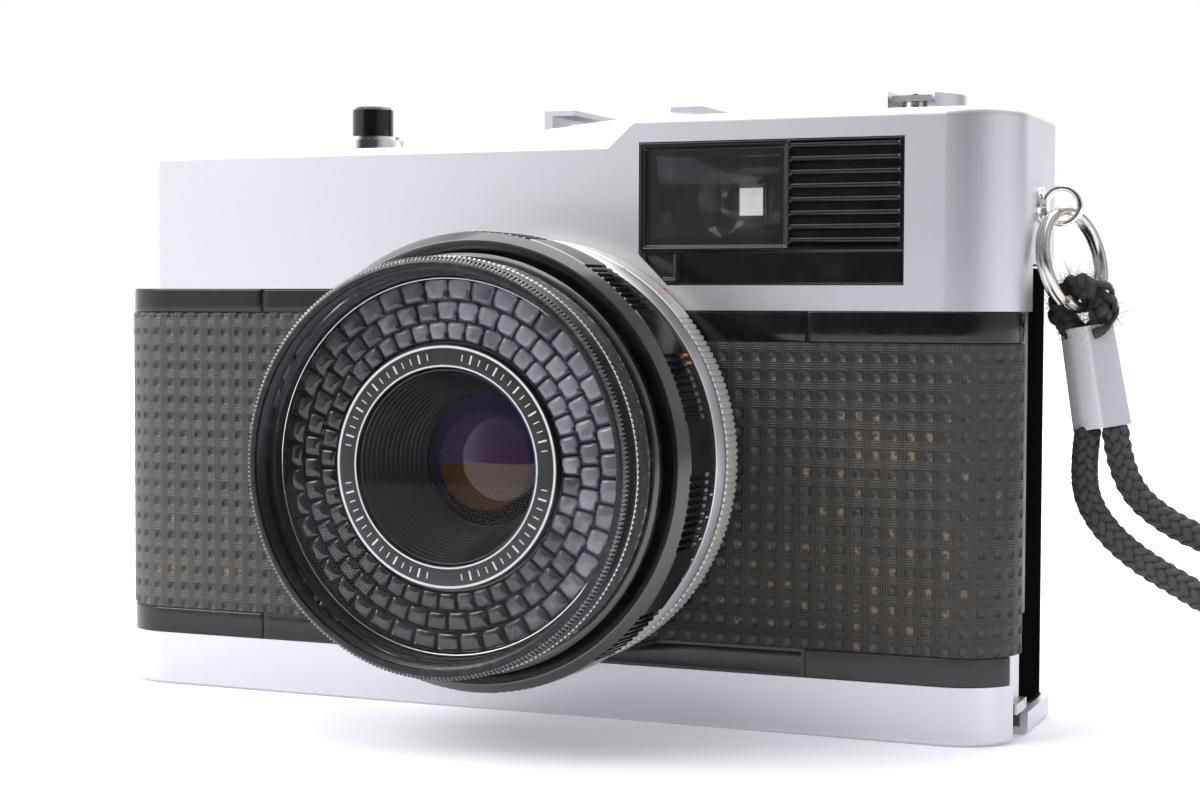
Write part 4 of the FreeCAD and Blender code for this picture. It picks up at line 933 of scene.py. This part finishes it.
def make_meter_window():
    """A ring-shaped face with the bubbles standing on it, and a lip turned back at both rims."""
    inner, outer, across, around = 13.3, 20.25, 96, BUBBLES * 26
    face, lip = -38.0, -37.4
    r = np.r_[inner, np.linspace(inner, outer, across), outer]
    R, T = np.meshgrid(r, np.linspace(0, TAU, around, endpoint=False), indexing="ij")
    rise, painted_light = bubbles(R, T)
    Y = face - rise
    Y[[0, -1]] = lip
    pts = np.stack([R * np.sin(T), Y, LENS_Z + R * np.cos(T)], -1).reshape(-1, 3)
    mesh = pts, grid_faces(len(r), around, True, True)[:, ::-1].tolist()
    piece("meter_bubbles", mesh, make_bubble_glass(), "camera_body", ["meter_window"], 60,
          attr={"painted_light": painted_light.ravel()})


make_meter_window()

NAME_BLACK = make_black("name_black", (0.014, 0.014, 0.016), 0.3, amount=0.7, specks=0.05)
ring("name_ring_plate", [(10.75, -38.9), (13.2, -38.9), (13.25, -38.3), (10.75, -38.3)], 360, NAME_BLACK,
     nodes=["name_ring"], radius=0.05)


def make_name_ring_marks():
    """Two fine circles with plain ticks between them, every third one longer and wider."""
    back, front = -38.89, -38.94
    marks = [lathe([(r0, back), (r0, front), (r1, front), (r1, back)], 360)
             for r0, r1 in ((10.82, 11.0), (12.84, 13.1))]
    box = [[0, 1, 2, 3], [7, 6, 5, 4], [0, 4, 5, 1], [1, 5, 6, 2], [2, 6, 7, 3], [3, 7, 4, 0]]
    for k in range(72):
        if k % 18 in (0, 1, 17):
            continue
        sin, cos = math.sin(math.radians(5 * k)), math.cos(math.radians(5 * k))
        w, r0, r1 = (0.055, 11.6, 12.3) if k % 3 else (0.1, 11.45, 12.45)
        corners = (r0, -w), (r0, w), (r1, w), (r1, -w)
        marks.append(([(r * sin + s * cos, y, LENS_Z + r * cos - s * sin)
                       for y in (back, front) for r, s in corners], box))
    piece("name_ring_marks", join(marks), WHITE_MARK, "camera_body", (), 30)


def make_cell_profile():
    """Stepped cone behind the name ring, ending at the seat of the front element."""
    steps, (r0, r1), (y0, y1) = 13, (10.55, 7.8), (-38.35, -28.95)
    profile = []
    for k in range(steps):
        r, y = r0 + (r1 - r0) * k / steps, y0 + (y1 - y0) * k / steps
        profile += [(r, y), (r - 0.12, y), (r - 0.17, y + 0.06), (r - 0.36, y + 0.5)]
    return profile + [(7.35, -28.75), (7.35, -27.2), (8.2, -26.8), (10.55, -31.2)]


make_name_ring_marks()
CELL_BLACK = make_black("cell_black", (0.008, 0.008, 0.010), 0.3, amount=0.2, ior=1.8)
ring("front_cell_ridges", make_cell_profile(), 360, CELL_BLACK, "front_cell", ["front_cell"],
     0.03)


def make_lens_reflection():
    """Glass with a painted reflection: violet above and amber below, split at a painted horizon, with a
    darker painted rim.
    """
    mat, nt, bsdf = shader("lens_painted_reflection", (0.05, 0.02, 0.06), 0.02, ior=1.42)
    x, _, z = split(nt, node(nt, "ShaderNodeTexCoord").outputs["Object"])
    up = times(nt, math_node(nt, "SUBTRACT", z, LENS_Z * MM), 1000.0)
    right = times(nt, x, 1000.0)
    # painted reflection: violet above the lens axis and amber below it
    half = ramp(nt, plus(nt, times(nt, up, 2.5), 0.9), (0.3, (0.075, 0.032, 0.010)),
                (0.48, (0.080, 0.036, 0.014)), (0.52, (0.058, 0.038, 0.078)), (0.7, (0.055, 0.034, 0.080)))
    rad = math_node(nt, "SQRT", plus(nt, times(nt, up, up), times(nt, right, right)))
    rim = ramp(nt, math_node(nt, "DIVIDE", rad, 7.4), (0.72, 0), (0.78, 1))
    # painted reflection: the rim is near black below and navy above
    deep = ramp(nt, plus(nt, times(nt, up, 0.08), 0.5), (0.1, (0.004, 0.004, 0.006)),
                (0.9, (0.035, 0.022, 0.075)))
    feed(bsdf, "Base Color", mix(nt, rim, half, deep))
    feed(bsdf, "Roughness", ramp(nt, noise(nt, coords(nt), 0.3, 3), (0.4, 0.015), (0.8, 0.06)))
    return mat


dome = [(0.02 + 7.38 * k / 24, -29.9 + 1.7 * (k / 24) ** 2) for k in range(25)]
piece("front_element_dome", lathe(dome + [(7.4, -27.6), (0.02, -27.4)], 128), make_lens_reflection(), "front_cell",
      ["front_element"], 50)


# ---- strap fittings
def unit(v):
    v = np.asarray(v, float)
    return v / np.linalg.norm(v)


def tilted(degrees):
    """Unit vector straight down, swung toward the right by an angle."""
    return np.array([math.sin(math.radians(degrees)), 0, -math.cos(math.radians(degrees))])


TURN = math.radians(22)
LUG = np.array([58.4, 0.5, 59.8])
LUG_HOLE, WIRE, COIL_R, LOOP_R, FERRULE = 0.62, 0.6, 5.6, 2.6, 11.6
down = tilted(12)
axis = unit(np.cross([math.sin(TURN), math.cos(TURN), 0], down))
centre = LUG - [0, 0, LUG_HOLE] + down * COIL_R
low = centre + down * COIL_R
fore = unit(np.cross(axis, down))


def make_split_ring():
    """Two turns of wire lying side by side."""
    a = np.linspace(0, 2 * TAU, 241)[:, None] + 0.9
    side = axis * (np.linspace(-0.53, 0.53, 241)[:, None])
    coil = centre + (COIL_R + 0.05 * np.sin(1.5 * a)) * (np.cos(a) * fore + np.sin(a) * down) + side
    piece("split_ring_wire", tube(coil, WIRE, 14), NICKEL, "strap", ["split_ring"], 50)


def make_strap_eyes():
    """An eye on a short stepped stem at each end of the body."""
    lugs = []
    for sgn, x, end in ((1, LUG[0], 56.0), (-1, -62.4, -60.0)):
        v, f = lathe(rounded([(1.7, -0.3), (2.35, -0.3), (2.35, 1.3), (1.7, 1.3)], 0.3, 4), 64)
        lugs.append((v + [x, 0, LUG[2] - LENS_Z], f))
        spots = end + sgn * np.array([-0.5, 0, 0.22, 0.3, 0.32, 0.75])
        path = np.stack([spots, 0 * spots + LUG[1], 0 * spots + LUG[2]], -1)
        lugs.append(tube(path, [2.25, 2.3, 2.25, 2.05, 1.25, 1.0], 40))
    piece("strap_eyes", join(lugs), BRIGHT, "camera_body", ["strap_lugs"], 40)


def make_strap_loop(bend=math.radians(35), leg=1.6):
    """Short braided cord through the ring, with both ends running down into the ferrule."""
    angles = np.linspace(-bend, math.pi + bend, 60)
    arc = low + LOOP_R * (np.cos(angles)[:, None] * axis - np.sin(angles)[:, None] * down)
    out, drop = axis * (leg * math.sin(bend)), down * (leg * math.cos(bend))
    line = resample(np.vstack([arc[0] - out + drop, arc, arc[-1] + out + drop]), 0.25)
    mesh, uv, crowns = braid(line, 1.5, 7.0, 6, 1.2, 2.0)
    piece("loop_braid", mesh, YARN_WORN, "strap", ["strap_loop"], 60, uv, crowns)
    piece("loop_fibres", fibres(line, 1.4, 700, 1.5, 0.024), YARN_WORN, "strap", (), 60)
    return low + down * (LOOP_R * math.sin(bend) + 1.2 * math.cos(bend) - 0.4)


make_split_ring()
make_strap_eyes()
mouth = make_strap_loop()
lie = tilted(9.5)
across = np.array([math.cos(math.radians(10)), math.sin(math.radians(-10)), 0])
across = unit(across - lie * (across @ lie))
thick = np.cross(lie, across)


def ferrule_section(share, wall):
    """Pressed tube with a broad face to the left and a folded one to the right."""
    w, d = 3.1 + 0.3 * share - wall, 1.95 + 0.1 * share - wall
    corners = [(-w, -0.3 * d), (-0.8 * w, -0.75 * d), (0.25 * w, -d), (0.8 * w, -0.8 * d), (w, -0.3 * d),
               (w, 0.2 * d), (0.3 * w, d), (-0.5 * w, 0.68 * d), (-w, 0.05 * d)]
    section = np.array(rounded(corners, 0.5 - wall))
    return mouth + lie * FERRULE * share + section[:, :1] * across + section[:, 1:] * thick


def make_ferrule_steel():
    """Bright pressed steel, with painted shade that makes the folded face darker and lavender-grey."""
    mat = make_ring_metal("ferrule_steel", (0.98, 0.97, 1.0), 0.3, 0.12, (0.45, 0.33, 0.28), 0.15)
    nt = mat.node_tree
    bare = nt.nodes["Principled BSDF"].inputs["Base Color"]
    nt.links.new(mix(nt, attribute(nt, "shaded_face"), bare.links[0].from_socket, (0.62, 0.61, 0.66)), bare)
    return mat


def make_ferrule():
    shares = np.r_[0, 0.004, np.linspace(0.02, 0.98, 24), 0.996, 1]
    rows = [ferrule_section(s, 0.06 * (s in (0, 1))) for s in shares]
    rows += [ferrule_section(s, 0.26) for s in shares[::-1]]
    verts = np.concatenate(rows)
    faces = grid_faces(len(rows), len(rows[0]), True, True).tolist()
    # painted shade: marks the folded face on the right for the darker lavender-grey tint
    shaded_face = np.clip(((verts - mouth) @ across - 0.6) / 0.5, 0, 1)
    piece("ferrule_tube", (verts, faces), make_ferrule_steel(), "strap", ["strap_ferrule"],
          30, attr={"shaded_face": shaded_face})


make_ferrule()


# ---- finishes of the CAD nodes that stay
def dress(mat, *names):
    for n in names:
        obj = NODES[n]
        if not obj.material_slots:
            obj.data.materials.append(mat)
        for held in obj.material_slots:
            held.link = "OBJECT"
            held.material = mat


def make_dial(axle_x=-45.5, ticks=36.0):
    """White dial with plain black ticks round its edge."""
    mat, nt, bsdf = shader("counter_face", grey(0.8), 0.5)
    x, y, _ = split(nt, node(nt, "ShaderNodeTexCoord").outputs["Object"])
    angle = math_node(nt, "ARCTAN2", y, plus(nt, x, -axle_x * MM))
    tick = ramp(nt, math_node(nt, "SINE", times(nt, angle, ticks)), (0.8, 0), (0.9, 1))
    paper = mix(nt, noise(nt, coords(nt), 1.0), grey(0.75), grey(0.85))
    feed(bsdf, "Base Color", mix(nt, tick, paper, grey(0.03)))
    bump(nt, bsdf, noise(nt, coords(nt), 6.0), 0.1, 0.01)
    return mat


CELL_MAT = make_black("selenium", (0.05, 0.045, 0.06), 0.25, amount=0.3)
LENS_GLASS = make_clear("lens_glass", (0.75, 0.6, 0.9), 1.6)
dress(SATIN, "top_cover", "bottom_cover", "accessory_shoe")
dress(PAINT, "body_casting")
dress(GLOSS, "front_plate", "shutter_button", "advance_wheel")
DOOR_PAINT = make_black("door_paint", (0.004, 0.004, 0.005), 0.5, amount=0.04, specks=0.0)
DOOR_PAINT.node_tree.nodes["Principled BSDF"].inputs["Specular IOR Level"].default_value = 0.0
dress(DOOR_PAINT, "back_door")
dress(BARREL_BLACK, "lens_barrel")
dress(MATT, "finder_tunnel", "shutter_housing", "pressure_plate", "takeup_spool", "film_sprocket")
dress(WINDOW_GLASS, "finder_windows", "finder_eyepiece", "counter_window")
dress(FILTER_GLASS, "filter_glass")
dress(LENS_GLASS, "inner_elements")
dress(CELL_MAT, "selenium_cell")
dress(STEEL, "case_screws", "release_spring", "rewind_sleeve", "rewind_shaft", "plate_springs",
      "latch_spring", "hinge_pin", "shutter_blade_a", "shutter_blade_b", "aperture_blade_a",
      "aperture_blade_b", "rewind_button", "shoe_contact", "door_latch")
dress(BRIGHT, "release_collar", "crank_handle")
dress(RING_SILVER, "rewind_knob", "rewind_crank")
dress(BRASS, "tripod_bush")
dress(make_dial(), "counter_dial")


# ---- floor and light
def make_stage():
    """White paper that glows a little, so that it stays white round a soft shadow."""
    me = bpy.data.meshes.new("floor")
    half_width, near, far = 2, -0.36, 6
    corners = [(-half_width, near, 0), (half_width, near, 0), (half_width, far, 0), (-half_width, far, 0)]
    me.from_pydata(corners, [], [(0, 1, 2, 3)])
    mat, nt, bsdf = shader("floor_paper", (0.72, 0.72, 0.76), 0.9)
    feed(bsdf, "Base Color", mix(nt, noise(nt, coords(nt), 0.02, 2), (0.72, 0.72, 0.76), (0.70, 0.70, 0.75)))
    deep = split(nt, coords(nt))[1]
    glow = ramp(nt, times(nt, deep, 0.001), (0.05, (0.28, 0.283, 0.29)), (0.6, (0.75, 0.75, 0.76)))
    feed(bsdf, "Emission Color", glow)
    bsdf.inputs["Emission Strength"].default_value = 1.0
    me.materials.append(mat)
    floor = bpy.data.objects.new("floor", me)
    bpy.context.scene.collection.objects.link(floor)


def area(name, place, target, size, power, color=(1, 1, 1)):
    data = bpy.data.lights.new(name, "AREA")
    data.shape, data.size, data.size_y = "RECTANGLE", size[0], size[1]
    data.energy, data.color = power, color
    obj = bpy.data.objects.new(name, data)
    bpy.context.scene.collection.objects.link(obj)
    obj.location = place
    obj.rotation_euler = (Vector(target) - Vector(place)).to_track_quat("-Z", "Y").to_euler()


def make_world():
    """White where it is looked at; as a light, bright to the left and above and dim to the right."""
    world = bpy.data.worlds.new("studio")
    bpy.context.scene.world = world
    world.use_nodes = True
    nt = world.node_tree
    back = nt.nodes["Background"]
    x, y, z = split(nt, node(nt, "ShaderNodeTexCoord").outputs["Generated"])
    leftward = plus(nt, times(nt, x, -0.5), 0.5)
    left = ramp(nt, leftward, (0.0, 0.5), (0.08, 0.32), (0.17, 0.04), (0.62, 0.02),
                (0.71, 0.25), (0.79, 0.9), (1.0, 1.0))
    above = ramp(nt, z, (0.15, 0.0), (0.5, 0.25), (1.0, 0.45))
    behind = ramp(nt, y, (0.3, 0.0), (0.75, 0.45), (0.95, 0.85))
    toward_left = ramp(nt, leftward, (0.1, 0.1), (0.28, 0.6), (0.42, 1.0))
    total = plus(nt, plus(nt, left, above), times(nt, behind, toward_left))
    ray = node(nt, "ShaderNodeLightPath").outputs["Is Camera Ray"]
    feed(back, "Color", mix(nt, ray, (0.97, 0.985, 1.0), (1.0, 1.0, 1.0)))
    feed(back, "Strength", mix(nt, ray, times(nt, total, 1.35), (1.0, 1.0, 1.0)))


make_stage()
make_world()
area("key", (-0.48, -0.44, 0.58), (-0.04, -0.02, 0.03), (0.5, 0.45), 4.4, (1.0, 0.99, 0.97))
area("top", (-0.1, 0.05, 0.9), (0, 0, 0.03), (0.9, 0.7), 4.2)
area("floor_wash", (0.1, 0.5, 0.7), (0.05, 0.0, 0.0), (0.8, 0.4), 3)
